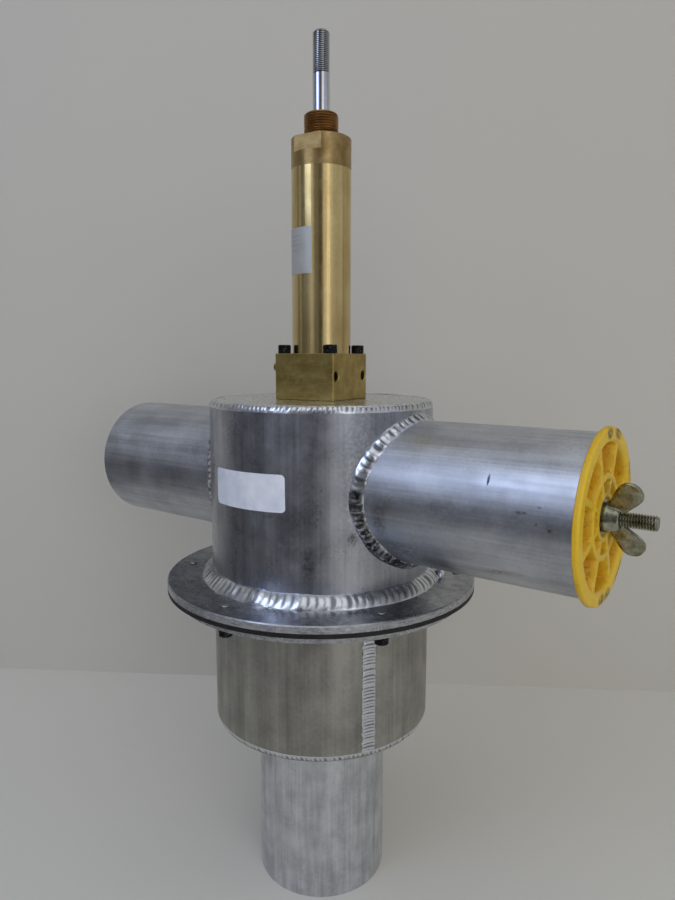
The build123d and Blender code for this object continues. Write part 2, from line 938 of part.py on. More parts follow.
def make_tube_label():
    return wrapped_label(
        tube_r,
        tube_label_width,
        tube_label_height,
        tube_label_corner,
        tube_label_turn,
        block_top + tube_label_middle,
        0,
    )


# ---- One STEP file for each piece ---------------------------------------------------

pieces = {
    "lower_pipe": make_lower_pipe(),
    "lower_pipe_weld": make_lower_pipe_weld(),
    "lower_end_plate": make_lower_plate(),
    "lower_edge_weld": make_lower_edge_weld(),
    "lower_can": make_lower_can(),
    "lower_flange_weld": fillet_ring(
        lower_can_r, lower_flange_bottom, -small_fillet_leg
    ),
    "seat_ring": make_seat_ring(),
    "seam_welds": make_seam_welds(),
    "lower_flange": make_lower_flange(),
    "flange_gasket": make_gasket(),
    "upper_flange": make_upper_flange(),
    "flange_screws": make_flange_screws(),
    "upper_flange_weld": fillet_ring(upper_can_r, upper_flange_top, fillet_leg),
    "upper_can": make_upper_can(),
    "left_pipe": make_side_pipe(left_pipe_reach, -1),
    "right_pipe": make_side_pipe(right_pipe_reach, 1),
    "left_saddle_weld": make_saddle_weld(-1),
    "right_saddle_weld": make_saddle_weld(1),
    "top_plate": make_top_plate(),
    "top_edge_weld": make_top_edge_weld(),
    "base_block": make_base_block(),
    "block_screws": make_block_screws(),
    "block_o_ring": make_o_ring(block_top + spigot_length / 2),
    "rod_seal": make_rod_seal(),
    "lower_bushing": make_lower_bushing(),
    "cylinder_tube": make_tube(),
    "cylinder_cap": make_cap(),
    "threaded_gland": make_gland(),
    "cap_o_ring": make_o_ring(tube_top - spigot_length / 2),
    "vent_filter": make_vent_filter(),
    "upper_bushing": make_upper_bushing(),
    "rod_wiper": make_rod_wiper(),
    "air_fitting": make_air_fitting(),
    "piston_rod": make_piston_rod(),
    "piston": make_piston(),
    "piston_seal": make_piston_seal(),
    "piston_clips": make_piston_clips(),
    "return_spring": make_return_spring(),
    "disc_facing": make_disc_facing(),
    "valve_disc": make_valve_disc(),
    "facing_washer": make_facing_washer(),
    "disc_nuts": make_disc_nuts(),
    "plug_disc": make_plug_disc(),
    "plug_washer": make_plug_washer(),
    "plug_ring": make_plug_ring(),
    "plug_inner_disc": make_inner_disc(),
    "plug_bolt": make_plug_bolt(),
    "wing_nut": make_wing_nut(),
    "can_label": make_can_label(),
    "tube_label": make_tube_label(),
}

os.makedirs("parts", exist_ok=True)
for name, piece in pieces.items():
    export_step(piece, f"parts/{name}.step")
    print(name, len(piece.solids()), round(sum(s.volume for s in piece.solids())))
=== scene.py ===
# %% [markdown]
# # An air-operated lift valve
#
# The valve is two welded aluminium cans, three 4 inch tubes, a brass air cylinder and a yellow
# expansion plug. The engineering model gives every piece its size and its motion. This file
# gives them their looks: it keeps the parts whose shape is already right, builds again the ones
# that need a finer shape, such as weld beads and threads, and makes a material for each finish.
#
# Lengths in the code are millimetres in the valve's own frame: Z is up along the rod, X runs
# along the side tubes towards the plug, and the origin is the open end of the lower tube.

# %% Load the valve
import bpy
import bmesh
import math
import random
from mathutils import Matrix, Vector, noise


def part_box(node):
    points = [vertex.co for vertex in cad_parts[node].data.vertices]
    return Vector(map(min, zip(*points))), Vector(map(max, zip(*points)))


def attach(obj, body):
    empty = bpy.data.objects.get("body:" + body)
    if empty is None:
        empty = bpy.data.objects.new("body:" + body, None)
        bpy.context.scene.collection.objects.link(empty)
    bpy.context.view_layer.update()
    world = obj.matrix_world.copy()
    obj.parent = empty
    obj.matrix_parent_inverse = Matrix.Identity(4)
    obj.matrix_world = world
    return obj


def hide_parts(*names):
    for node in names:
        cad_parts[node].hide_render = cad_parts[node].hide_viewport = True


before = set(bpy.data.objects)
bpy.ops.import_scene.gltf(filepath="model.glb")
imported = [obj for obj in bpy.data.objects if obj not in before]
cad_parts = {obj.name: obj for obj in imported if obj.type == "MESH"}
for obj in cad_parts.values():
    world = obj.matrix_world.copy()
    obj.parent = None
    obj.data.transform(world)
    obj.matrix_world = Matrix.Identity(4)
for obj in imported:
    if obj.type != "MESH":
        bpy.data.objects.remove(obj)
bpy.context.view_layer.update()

MM = 0.001

# %% [markdown]
# ## Sizes
#
# Every size comes from the loaded parts, so a piece that is made here sits exactly where the
# engineering model has it. `corners` reads a part's box in millimetres.


# %% Read sizes from the parts
def corners(node):
    """The lowest and highest corners of a part, in millimetres."""
    low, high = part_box(node)
    return Vector(low) / MM, Vector(high) / MM


pipe_high = corners("lower_pipe")[1]
pipe_r = pipe_high.x
port_height = sum(corner.z for corner in corners("right_pipe")) / 2
left_reach = -corners("left_pipe")[0].x
right_reach = corners("right_pipe")[1].x
lower_can_low, lower_can_high = corners("lower_can")
lower_can_r = lower_can_high.x
upper_can_high = corners("upper_can")[1]
upper_can_r = upper_can_high.x
plate_top = corners("top_plate")[1].z
flange_top = corners("upper_flange")[1].z
flange_bottom = corners("lower_flange")[0].z
block_top = corners("cylinder_tube")[0].z
cap_top = corners("cylinder_cap")[1].z
pipe_wall = 3.2
print("tube radius", round(pipe_r, 2), "port height", round(port_height, 2))

# %% [markdown]
# ## Small tools for materials
#
# A shader is a tree of nodes. `add` makes one node, sets its options, and fills its inputs with
# numbers or with links, so that every finish below reads as a short list. Colours are written
# as sRGB hex, the way a colour picker shows them, and Blender mixes light in linear numbers, so
# `linear` turns one into the other. `feed` links finished patterns to the shader's sockets.
#
# Some nodes number their inputs. A Map Range takes its value at 0, the range it comes from at 1
# and 2, and the range it goes to at 3 and 4. A Mix takes its amount at 0.


# %% Colours and nodes
def linear(code, factor=1.0):
    """An sRGB hex colour as the linear numbers that a shader mixes."""
    channels = [int(code[start:start + 2], 16) / 255 for start in (1, 3, 5)]
    straight = [c / 12.92 if c <= 0.04045 else ((c + 0.055) / 1.055) ** 2.4 for c in channels]
    return tuple(c * factor for c in straight) + (1,)


def add(tree, kind, inputs=None, output=0, **settings):
    """Adds one shader node and gives back one of its outputs."""
    node = tree.nodes.new("ShaderNode" + kind)
    for name, value in settings.items():
        setattr(node, name, value)
    for name, value in (inputs or {}).items():
        if isinstance(value, bpy.types.NodeSocket):
            tree.links.new(value, node.inputs[name])
        else:
            node.inputs[name].default_value = value
    return node.outputs[output]


# A Mix node that mixes colours takes them at 6 and 7 and gives the mix at its output 2.
as_colour = {"output": 2, "data_type": "RGBA"}


def feed(tree, shader, **sources):
    """Links patterns to the shader's sockets; an underscore stands for a space."""
    for socket, source in sources.items():
        tree.links.new(source, shader.inputs[socket.replace("_", " ")])


def finish(name, colour, metallic=0.0, roughness=0.5, **sockets):
    """A new material; its constants sit on the shader's own sockets."""
    material = bpy.data.materials.new(name)
    material.use_nodes = True
    shader = material.node_tree.nodes["Principled BSDF"]
    shader.inputs["Base Color"].default_value = linear(colour)
    shader.inputs["Metallic"].default_value = metallic
    shader.inputs["Roughness"].default_value = roughness
    for socket, value in sockets.items():
        shader.inputs[socket.replace("_", " ")].default_value = value
    return material, material.node_tree, shader


# %% [markdown]
# ## Patterns in real millimetres
#
# A finish is mostly pattern: mill grain, clouds of oxide, scratches, spots of dirt. Object
# coordinates are the valve's own frame in metres, so a thousand times them is millimetres, and
# each pattern can be given its real size. The marks of rolling and drawing are noise that is
# drawn out along one axis.


# %% Pattern helpers
def millimetres(tree):
    """Where a point of the surface is in the valve's frame, in millimetres."""
    place = add(tree, "TexCoord", output="Object")
    return add(tree, "VectorMath", {0: place, "Scale": 1 / MM}, operation="SCALE")


def grain(tree, place, size, detail=3.0, along=None, length=None):
    """Uneven grain whose lumps are one size, or drawn out to a length along one axis."""
    scale = [1 / size] * 3
    if along:
        scale["XYZ".index(along)] = 1 / length
    scaled = add(tree, "VectorMath", {0: place, 1: scale}, operation="MULTIPLY")
    return add(tree, "TexNoise", {"Vector": scaled, "Scale": 1.0, "Detail": detail})


def spot(tree, place, centre, radii, turn=(0, 0, 0), soft=0.5):
    """1 inside an ellipsoid and 0 outside, with a soft edge."""
    turned = [math.radians(angle) for angle in turn]
    inside = {"Vector": place, "Location": centre, "Rotation": turned, "Scale": radii}
    local = add(tree, "Mapping", inside, vector_type="TEXTURE")
    distance = add(tree, "VectorMath", {0: local}, output="Value", operation="LENGTH")
    edge = {0: distance, 1: 1.0 - soft, 2: 1.0, 3: 1.0, 4: 0.0}
    return add(tree, "MapRange", edge, interpolation_type="SMOOTHSTEP")


def lay_marks(tree, place, colour, marks):
    """Lays marks over a colour: stains, soot and streaks, and painted highlights, reflections
    and shade. Each is (centre, radii, turn, soft, hex colour, strength).
    """
    ragged = grain(tree, place, 2.2, detail=4.0)
    broken = add(tree, "MapRange", {0: ragged, 1: 0.35, 2: 0.6, 3: 0.35, 4: 1.0})
    for centre, radii, turn, soft, tone, strength in marks:
        mask = spot(tree, place, centre, radii, turn, soft)
        amount = add(tree, "Math", {0: mask, 1: broken}, operation="MULTIPLY")
        amount = add(tree, "Math", {0: amount, 1: strength}, operation="MULTIPLY")
        colour = add(tree, "Mix", {0: amount, 6: colour, 7: linear(tone)}, **as_colour)
    return colour


# %% [markdown]
# ## Bare metal
#
# Every metal here is bare: mill-finish aluminium, brass, bronze and zinc plate. What tells them
# apart is their tint, how rough they are and what was done to them. One recipe serves them all.
# Clouds are oxide and handling, streaks are the marks of rolling, drawing or a lathe tool, and
# mottle is the fine unevenness of a skin that was never polished. The streaks also tilt the
# surface a little, which draws highlights out across them, as on the real metal. Streaks finer
# than about 0.5 mm don't show at this distance, so the grain is drawn coarser, 0.8 to 2.2 mm
# wide. The threads of the rod and the bolt also store where their grooves are, and the metal is
# darkened there, partly for oil and dirt and partly as painted shade in the grooves.


# %% The bare metal recipe
def bare_metal(name, dull, bright, roughness=(0.28, 0.42), lay="Z", cloud=34.0, streak=(1.1, 90.0),
               relief=0.012, marks=(), fine=0.45, grime=0.85):
    """Metal with oxide clouds, streaks along one axis, mottle and marks."""
    material, tree, shader = finish(name, bright, metallic=1.0)
    place = millimetres(tree)
    clouds = grain(tree, place, cloud, detail=5.0)
    wide = grain(tree, place, streak[0] * 6, detail=2.0, along=lay, length=streak[1])
    lines = grain(tree, place, streak[0], detail=2.0, along=lay, length=streak[1])
    mottle = grain(tree, place, 2.4, detail=4.0)
    tone = add(tree, "Math", {0: clouds, 1: wide}, operation="ADD")
    tone = add(tree, "Math", {0: lines, 1: 0.5, 2: tone}, operation="MULTIPLY_ADD")
    tone = add(tree, "Math", {0: mottle, 1: 0.4, 2: tone}, operation="MULTIPLY_ADD")
    tone = add(tree, "MapRange", {0: tone, 1: 1.15, 2: 1.75, 3: 0.0, 4: 1.0})
    colour = add(tree, "Mix", {0: tone, 6: linear(dull), 7: linear(bright)}, **as_colour)
    # grime sets how far the thread grooves darken: oil and dirt, and painted shade.
    valley = add(tree, "Attribute", output="Fac", attribute_name="valley")
    groove_dirt_and_shade = add(tree, "Math", {0: valley, 1: grime}, operation="MULTIPLY")
    colour = add(tree, "Mix", {0: groove_dirt_and_shade, 6: colour, 7: linear(dull, 0.12)}, **as_colour)
    colour = lay_marks(tree, place, colour, marks)
    patchy = grain(tree, place, cloud * 0.6, detail=4.0)
    rough = add(tree, "Math", {0: mottle, 1: 0.35, 2: patchy}, operation="MULTIPLY_ADD")
    rough = add(tree, "MapRange", {0: rough, 1: 0.5, 2: 0.85, 3: roughness[0], 4: roughness[1]})
    height = add(tree, "Math", {0: mottle, 1: fine, 2: lines}, operation="MULTIPLY_ADD")
    bump = add(tree, "Bump", {"Strength": 1.0, "Distance": relief * MM, "Height": height})
    feed(tree, shader, Base_Color=colour, Roughness=rough, Normal=bump)
    return material


def dress(material, *nodes):
    """Gives a finish to parts that keep their own shape."""
    for name in nodes:
        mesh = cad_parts[name].data
        mesh.materials.clear()
        mesh.materials.append(material)
    print(material.name, "on", ", ".join(nodes))


# %% [markdown]
# ### Aluminium
#
# The cans are rolled from 5052 sheet: grain up the side, scuffed by the roller, darker where the
# weld's heat and greasy hands have been. The upper can also carries painted reflections, lighter
# and darker patches beside the right tube and on the -Y side. The tubes are drawn 6061 with the
# grain along them, and the right tube has one painted highlight high on its side.
# They look a cold grey-blue beside the flanges, which were turned and show fine rings. The right
# tube has a few scratches and spots of ink and soot, whose places on its surface are listed one by
# one.


# %% Where the marks are
def on_tube(reach, angle):
    """A point of the right tube's skin, by its distance and its angle above the -Y side."""
    turn = math.radians(angle)
    return (reach, -pipe_r * math.cos(turn), port_height + pipe_r * math.sin(turn))


def on_can(radius, angle, height):
    """A point of a can's skin, by its angle from +X and its height."""
    turn = math.radians(angle)
    return (radius * math.cos(turn), radius * math.sin(turn), height)


# ink and soot are real marks; pale is the tint of a painted highlight.
ink, soot, pale = "#26262B", "#1E1D1C", "#E4E8EE"
# The pale mark high on the tube is a painted highlight; the rest are scratches, smudges and spots
# of ink and soot.
tube_marks_and_painted_highlight = [
    (on_tube(160.4, 27.0), (1.0, 5.0, 3.6), (30, 0, 0), 0.35, ink, 1.0),
    (on_tube(182.8, 8.3), (5.2, 4.0, 1.4), (0, 0, 0), 0.7, "#4A4A52", 0.75),
    (on_tube(193.0, 13.0), (1.6, 3.0, 0.9), (0, 0, 0), 0.6, "#4A4A52", 0.8),
    (on_tube(192.2, 1.7), (0.9, 3.0, 1.3), (0, 0, 0), 0.6, "#55555C", 0.7),
    (on_tube(199.9, -1.0), (1.3, 3.0, 1.1), (0, 0, 0), 0.5, ink, 0.9),
    (on_tube(203.0, 59.0), (17.0, 14.0, 9.0), (31, 0, 0), 0.8, pale, 0.55),
    (on_tube(168.0, -42.0), (20.0, 8.0, 3.2), (0, -6, 0), 0.9, "#77705F", 0.6),
    (on_tube(100.0, -40.0), (26.0, 22.0, 12.0), (0, 0, 0), 0.9, "#5C5850", 0.6),
    (on_tube(86.0, -12.0), (9.0, 14.0, 22.0), (0, 0, 0), 0.8, "#4C4A48", 0.55),
]
# The first four marks are painted reflections: lighter and darker patches beside the right tube and
# a dark patch on the -Y side. The two thin upright lines are streaks in the sheet, and the last
# mark is soot beside the saddle weld.
can_marks_and_painted_reflections = [
    (on_can(upper_can_r, -46.0, 325.0), (16.0, 16.0, 46.0), (0, 14, 0), 0.9, "#B7BCC4", 0.2),
    (on_can(upper_can_r, -41.0, 265.0), (12.0, 12.0, 14.0), (0, 0, 0), 0.9, "#C9CCD0", 0.3),
    (on_can(upper_can_r, -32.0, 335.0), (30.0, 30.0, 90.0), (0, 0, 0), 0.9, "#7C7F88", 0.75),
    (on_can(upper_can_r, -58.0, 276.0), (9.0, 9.0, 20.0), (0, 0, 0), 0.9, "#43434E", 0.7),
    (on_can(upper_can_r, -55.0, 362.0), (3.0, 3.0, 20.0), (0, 8, 0), 0.9, "#8A8D94", 0.5),
    (on_can(upper_can_r, -64.0, 357.0), (0.9, 0.9, 22.0), (0, 0, 0), 0.7, "#8E9096", 0.55),
    (on_can(upper_can_r, -38.0, 294.0), (5.0, 5.0, 7.0), (0, 0, 0), 0.7, soot, 0.65),
]
print("marks on the right tube", len(tube_marks_and_painted_highlight), "and on the upper can", len(can_marks_and_painted_reflections))

# %% Aluminium finishes
def chalk_sides(material, metallic):
    """Makes upright faces duller and lighter than level ones, as a sawn or turned edge is."""
    tree = material.node_tree
    upward = add(tree, "SeparateXYZ", {0: add(tree, "NewGeometry", output="Normal")}, output="Z")
    level = add(tree, "Math", {0: upward}, operation="ABSOLUTE")
    metal = add(tree, "MapRange", {0: level, 1: 0.3, 2: 0.8, 3: metallic, 4: 1.0})
    feed(tree, tree.nodes["Principled BSDF"], Metallic=metal)


sheet = bare_metal("mill finish aluminium sheet", "#9799A2", "#C4C7CF", (0.26, 0.38), "Z",
                   cloud=30.0, streak=(1.6, 150.0), relief=0.02, marks=can_marks_and_painted_reflections)
dull_sheet = bare_metal("dulled aluminium sheet", "#878580", "#AFADA6", (0.32, 0.44), "Z",
                        cloud=26.0, streak=(2.2, 120.0), relief=0.018)
drawn = bare_metal("drawn aluminium tube", "#A4A7AD", "#D0D3D9", (0.36, 0.48), "X",
                   cloud=32.0, streak=(1.8, 110.0), relief=0.014, marks=tube_marks_and_painted_highlight)
lower_drawn = bare_metal("drawn aluminium tube, upright", "#B4B6BA", "#DEE0E4", (0.38, 0.5), "Z",
                         cloud=14.0, streak=(1.4, 60.0), relief=0.02)
# A painted highlight: the top face of the top plate is lightened all over, for the light that falls
# on it from above.
plate_painted_highlight = [((0.0, 0.0, plate_top), (160.0, 160.0, 4.0), (0, 0, 0), 0.3, "#EEEDE8", 0.85)]
faced = bare_metal("turned aluminium plate", "#7C7E83", "#B6B8BC", (0.2, 0.34), "Z",
                   cloud=40.0, streak=(1.0, 1.0), relief=0.008, marks=plate_painted_highlight)
chalk_sides(faced, 0.6)
dress(sheet, "upper_can")
dress(dull_sheet, "lower_can", "lower_end_plate")
dress(lower_drawn, "lower_pipe")
dress(faced, "top_plate", "upper_flange", "lower_flange", "piston", "valve_disc")

# %% [markdown]
# ### Brass, bronze and steel
#
# The cylinder is drawn brass tube, brushed up its length, so its highlights are tall thin bands.
# Its cap and base block were turned and milled from bar and have since tarnished to brown and
# olive. The threaded gland is bronze and has browned most. The rod is hard chromed, almost a
# mirror. The bolt and wing nut are zinc plated with a yellow-olive passivate that pools in
# corners.

# %% Brass, bronze and steel finishes
brass = bare_metal("brushed brass tube", "#BFA46C", "#DCC890", (0.15, 0.24), "Z",
                   cloud=30.0, streak=(0.9, 140.0), relief=0.012)
neck_rub = [((0.0, 0.0, cap_top + 1.8), (14.0, 14.0, 2.4), (0, 0, 0), 0.2, "#CDB27C", 0.95)]
cap_brass = bare_metal("tarnished turned brass", "#957A4B", "#B69C6C", (0.3, 0.42), "X",
                       cloud=14.0, streak=(1.0, 8.0), relief=0.01)
block_brass = bare_metal("tarnished milled brass", "#9A844A", "#BAA466", (0.32, 0.44), "X",
                         cloud=16.0, streak=(1.2, 22.0), relief=0.012)
gland_bronze = bare_metal("browned bronze", "#8C6A40", "#B08B5A", (0.34, 0.46), "Z",
                          cloud=8.0, streak=(1.2, 6.0), relief=0.01, marks=neck_rub)
bush_bronze = bare_metal("sintered bronze", "#86603A", "#A98058", (0.4, 0.55), "Z", cloud=6.0)
fitting_brass = bare_metal("turned brass fitting", "#9A7F45", "#C2A566", (0.22, 0.34), "X",
                           cloud=8.0, streak=(0.8, 3.0), relief=0.008)
chrome = bare_metal("hard chrome", "#BFC3C8", "#DDE0E4", (0.05, 0.1), "Z",
                    cloud=20.0, streak=(0.8, 60.0), relief=0.0015)
zinc = bare_metal("yellow passivated zinc plate", "#6C6A4C", "#B4B5A6", (0.2, 0.36), "Z",
                  cloud=7.0, streak=(1.5, 4.0), relief=0.02, grime=0.25)
stainless = bare_metal("turned stainless steel", "#9A9B9C", "#BFC1C3", (0.2, 0.3), "Z",
                       cloud=18.0, streak=(0.8, 1.0), relief=0.006)
spring_steel = bare_metal("oiled spring steel", "#5A5A5E", "#84858A", (0.25, 0.35), "Z",
                          cloud=12.0, streak=(0.8, 1.0), relief=0.006)
dress(brass, "cylinder_tube")
dress(cap_brass, "cylinder_cap")
dress(block_brass, "base_block")
dress(bush_bronze, "lower_bushing", "upper_bushing", "vent_filter")
dress(fitting_brass, "air_fitting")
dress(stainless, "seat_ring", "facing_washer", "piston_clips")
dress(spring_steel, "return_spring")
dress(zinc, "plug_washer", "disc_nuts")

# %% [markdown]
# ### Weld metal
#
# A weld is metal that froze in small pools, one over the next. The crowns are bright and clean,
# and the valleys between them hold grey oxide and soot. Each bead below stores how deep in a
# valley every point lies, and this finish reads it back to darken and roughen there.


# %% Weld finish
def weld_finish(name, dull, bright, marks=()):
    """Weld metal, bright on its crowns and grey in its valleys."""
    material, tree, shader = finish(name, bright, metallic=1.0)
    place = millimetres(tree)
    valley = add(tree, "Attribute", output="Fac", attribute_name="valley")
    grime = grain(tree, place, 3.0, detail=4.0)
    depth = add(tree, "Math", {0: grime, 1: 0.5, 2: valley}, operation="MULTIPLY_ADD")
    tone = add(tree, "MapRange", {0: depth, 1: 0.35, 2: 1.0, 3: 0.0, 4: 1.0})
    colour = add(tree, "Mix", {0: tone, 6: linear(bright), 7: linear(dull)}, **as_colour)
    colour = lay_marks(tree, place, colour, marks)
    rough = add(tree, "MapRange", {0: depth, 1: 0.2, 2: 1.1, 3: 0.2, 4: 0.46})
    pits = grain(tree, place, 0.7, detail=3.0)
    bump = add(tree, "Bump", {"Strength": 1.0, "Distance": 0.03 * MM, "Height": pits})
    feed(tree, shader, Base_Color=colour, Roughness=rough, Normal=bump)
    return material


def on_saddle(angle):
    """A point of the corner between the right tube and the can."""
    turn = math.radians(angle)
    across = pipe_r * math.cos(turn)
    return (math.sqrt(upper_can_r**2 - across**2), -across, port_height + pipe_r * math.sin(turn))


saddle_soot = [
    (on_saddle(-38.0), (10.0, 10.0, 12.0), (0, 0, 0), 0.5, soot, 1.0),
    (on_saddle(-22.0), (13.0, 14.0, 20.0), (0, 0, 0), 0.6, "#34322F", 0.95),
    (on_saddle(-4.0), (9.0, 9.0, 11.0), (0, 0, 0), 0.7, "#3E3C39", 0.9),
    (on_saddle(4.0), (6.0, 6.0, 5.0), (0, 0, 0), 0.4, soot, 1.0),
    (on_saddle(-58.0), (20.0, 22.0, 14.0), (0, 0, 0), 0.6, "#3A3834", 0.9),
]
weld_metal = weld_finish("aluminium weld metal", "#85878D", "#D6D9DE")
sooty_weld = weld_finish("sooted aluminium weld metal", "#6A6C72", "#D9DDE3", saddle_soot)
print("weld finishes", weld_metal.name, "and", sooty_weld.name)

# %% [markdown]
# ### Rubber, black screws, plastic and labels
#
# Light comes back from rubber, plastic and paper in two ways: coloured from inside, and white
# from the skin. The gasket is matt black rubber with a bloom of dust. The plug is injection
# moulded polypropylene, waxy and deep yellow, with dirt rubbed into its pockets and rim. Black
# oxide is another matter: a thin skin on steel that is still a metal, only a very dark one, and
# rubbed bright on the screws' tips.


# %% Rubber and black oxide
def rubber_finish():
    """Matt black rubber with a greyish bloom in clouds."""
    material, tree, shader = finish("black moulded rubber", "#0E0E10", roughness=0.6)
    place = millimetres(tree)
    bloom = grain(tree, place, 9.0, detail=5.0)
    dust = add(tree, "MapRange", {0: bloom, 1: 0.45, 2: 0.75, 3: 0.0, 4: 0.5})
    colour = add(tree, "Mix", {0: dust, 6: linear("#08080A"), 7: linear("#1E1E1C")}, **as_colour)
    skin = grain(tree, place, 0.5)
    bump = add(tree, "Bump", {"Strength": 1.0, "Distance": 0.03 * MM, "Height": skin})
    feed(tree, shader, Base_Color=colour, Normal=bump)
    return material


def oxide_finish(name, bare_above):
    """Black oxide that is rubbed through to steel above a height."""
    material, tree, shader = finish(name, "#1A1A1D", roughness=0.4, metallic=1.0)
    place = millimetres(tree)
    height = add(tree, "SeparateXYZ", {0: place}, output="Z")
    rubbed = add(tree, "MapRange", {0: height, 1: bare_above, 2: bare_above + 0.4})
    worn = grain(tree, place, 1.6, detail=4.0)
    specks = add(tree, "MapRange", {0: worn, 1: 0.56, 2: 0.72, 3: 0.0, 4: 0.35})
    bare = add(tree, "Math", {0: rubbed, 1: specks}, operation="MAXIMUM")
    colour = add(tree, "Mix", {0: bare, 6: linear("#2A2A2E"), 7: linear("#A9ADA6")}, **as_colour)
    rough = add(tree, "MapRange", {0: worn, 1: 0.35, 2: 0.65, 3: 0.34, 4: 0.5})
    feed(tree, shader, Base_Color=colour, Roughness=rough)
    return material


rubber = rubber_finish()
flange_black = oxide_finish("black oxide steel, rubbed tips", flange_top + 0.1)
block_black = oxide_finish("black oxide steel", block_top + 40.0)
dress(rubber, "flange_gasket", "block_o_ring", "rod_seal", "cap_o_ring", "rod_wiper",
      "piston_seal", "disc_facing", "plug_ring")

# %% [markdown]
# The plastic's dirt isn't random: it stays where a cloth doesn't reach. Depth behind the face
# says where that is, so it steers the dirt, and noise breaks it up. The same depth darkens and
# browns each pocket towards its floor, which is painted shade. The smears on the rim are listed
# one by one, as on the tube; one long dark mark low on the rim's side is painted shade as well.


# %% Where the plug is dirty
plug_low, plug_high = corners("plug_disc")
rim_top = plug_high.x
rim_r = plug_high.y


def on_rim(angle, radius):
    """A point of the plug's face, by its angle above the -Y side."""
    turn = math.radians(angle)
    return (rim_top, -radius * math.cos(turn), port_height + radius * math.sin(turn))


# The long dark mark low on the rim's +Y side, at -125 degrees, is painted shade on the rim's edge;
# the other marks are smears of dirt.
plug_smears_and_painted_shade = [
    (on_rim(86.0, 51.0), (4.0, 7.0, 4.6), (0, 0, 0), 0.5, "#3A3012", 0.95),
    (on_rim(106.0, 51.5), (4.0, 9.0, 5.0), (-20, 0, 0), 0.5, "#4A3C18", 0.9),
    (on_rim(-86.0, 50.5), (4.0, 7.0, 4.6), (0, 0, 0), 0.5, "#3A3012", 0.95),
    (on_rim(-100.0, 51.5), (4.0, 8.0, 5.0), (20, 0, 0), 0.5, "#4A3C18", 0.9),
    (on_rim(-125.0, 55.0), (6.0, 22.0, 6.0), (38, 0, 0), 0.5, "#5E4C1C", 0.9),
    (on_rim(150.0, 55.0), (6.0, 6.0, 20.0), (0, 0, 0), 0.6, "#7A6224", 0.75),
]
print("marks on the plug", len(plug_smears_and_painted_shade))


# %% Moulded plastic
def plastic_finish():
    """Waxy yellow plastic with dirt in its pockets, and painted shade that darkens and browns
    a pocket the deeper it is.
    """
    name = "yellow moulded polypropylene"
    material, tree, shader = finish(name, "#D7A016", roughness=0.4, IOR=1.49)
    place = millimetres(tree)
    split = add(tree, "SeparateXYZ", {0: place})
    depth = add(tree, "MapRange", {0: split, 1: rim_top - 10.0, 2: rim_top, 3: 1.0, 4: 0.0})
    clouds = grain(tree, place, 14.0, detail=4.0)
    stained = add(tree, "MapRange", {0: clouds, 1: 0.3, 2: 0.6, 3: 0.55, 4: 1.0})
    # Painted shade: the deeper a point lies in a pocket, the darker and browner it is painted.
    deep = add(tree, "Math", {0: depth, 1: stained}, operation="MULTIPLY")
    colour = add(tree, "Mix", {0: deep, 6: linear("#D0AE20"), 7: linear("#B46E00")}, **as_colour)
    specks = grain(tree, place, 2.6, detail=5.0)
    grime = add(tree, "MapRange", {0: specks, 1: 0.56, 2: 0.66})
    held = add(tree, "MapRange", {0: depth, 1: 0.0, 2: 0.8, 3: 0.12, 4: 0.6})
    grime = add(tree, "Math", {0: grime, 1: held}, operation="MULTIPLY")
    colour = add(tree, "Mix", {0: grime, 6: colour, 7: linear("#5A4210")}, **as_colour)
    colour = lay_marks(tree, place, colour, plug_smears_and_painted_shade)
    rough = add(tree, "MapRange", {0: clouds, 1: 0.3, 2: 0.7, 3: 0.32, 4: 0.5})
    skin = grain(tree, place, 1.3, detail=2.0)
    bump = add(tree, "Bump", {"Strength": 1.0, "Distance": 0.03 * MM, "Height": skin})
    feed(tree, shader, Base_Color=colour, Roughness=rough, Normal=bump)
    return material


yellow = plastic_finish()
dress(yellow, "plug_inner_disc")


# %% [markdown]
# The two labels carry no printing here. The big one is satin paper that has greyed in clouds, and
# the small one a silvered film with faint plain bars where a maker would print.


# %% Labels
def paper_finish():
    """Satin paper, a little greyer in clouds, with its fibres just showing."""
    material, tree, shader = finish("satin label paper", "#CDD3E0", roughness=0.42)
    place = millimetres(tree)
    clouds = grain(tree, place, 12.0, detail=4.0)
    tone = add(tree, "MapRange", {0: clouds, 1: 0.35, 2: 0.7})
    colour = add(tree, "Mix", {0: tone, 6: linear("#D5DAE6"), 7: linear("#BFC6D6")}, **as_colour)
    fibres = grain(tree, place, 0.6, detail=4.0)
    bump = add(tree, "Bump", {"Strength": 1.0, "Distance": 0.02 * MM, "Height": fibres})
    feed(tree, shader, Base_Color=colour, Normal=bump)
    return material


def film_finish():
    """Silvered film with a few short plain bars."""
    material, tree, shader = finish("silvered label film", "#A9ABAC", 0.35, 0.42)
    place = millimetres(tree)
    label_low, label_high = corners("tube_label")
    clouds = grain(tree, place, 10.0, detail=4.0)
    colour = add(tree, "Mix", {0: clouds, 6: linear("#A0A3A6"), 7: linear("#B9BBBB")}, **as_colour)
    middle = (label_low + label_high) / 2
    for drop, half_length in ((-6.0, 7.0), (-9.0, 5.0), (-12.0, 7.0), (-16.0, 4.0)):
        centre = (middle.x - 3.0, label_low.y, label_high.z + drop)
        bar = spot(tree, place, centre, (half_length, 12.0, 0.5), (0, 0, 0), 0.3)
        faint = add(tree, "Math", {0: bar, 1: 0.35}, operation="MULTIPLY")
        colour = add(tree, "Mix", {0: faint, 6: colour, 7: linear("#6E7174")}, **as_colour)
    rough = add(tree, "MapRange", {0: clouds, 1: 0.3, 2: 0.7, 3: 0.34, 4: 0.5})
    feed(tree, shader, Base_Color=colour, Roughness=rough)
    return material


dress(paper_finish(), "can_label")
dress(film_finish(), "tube_label")

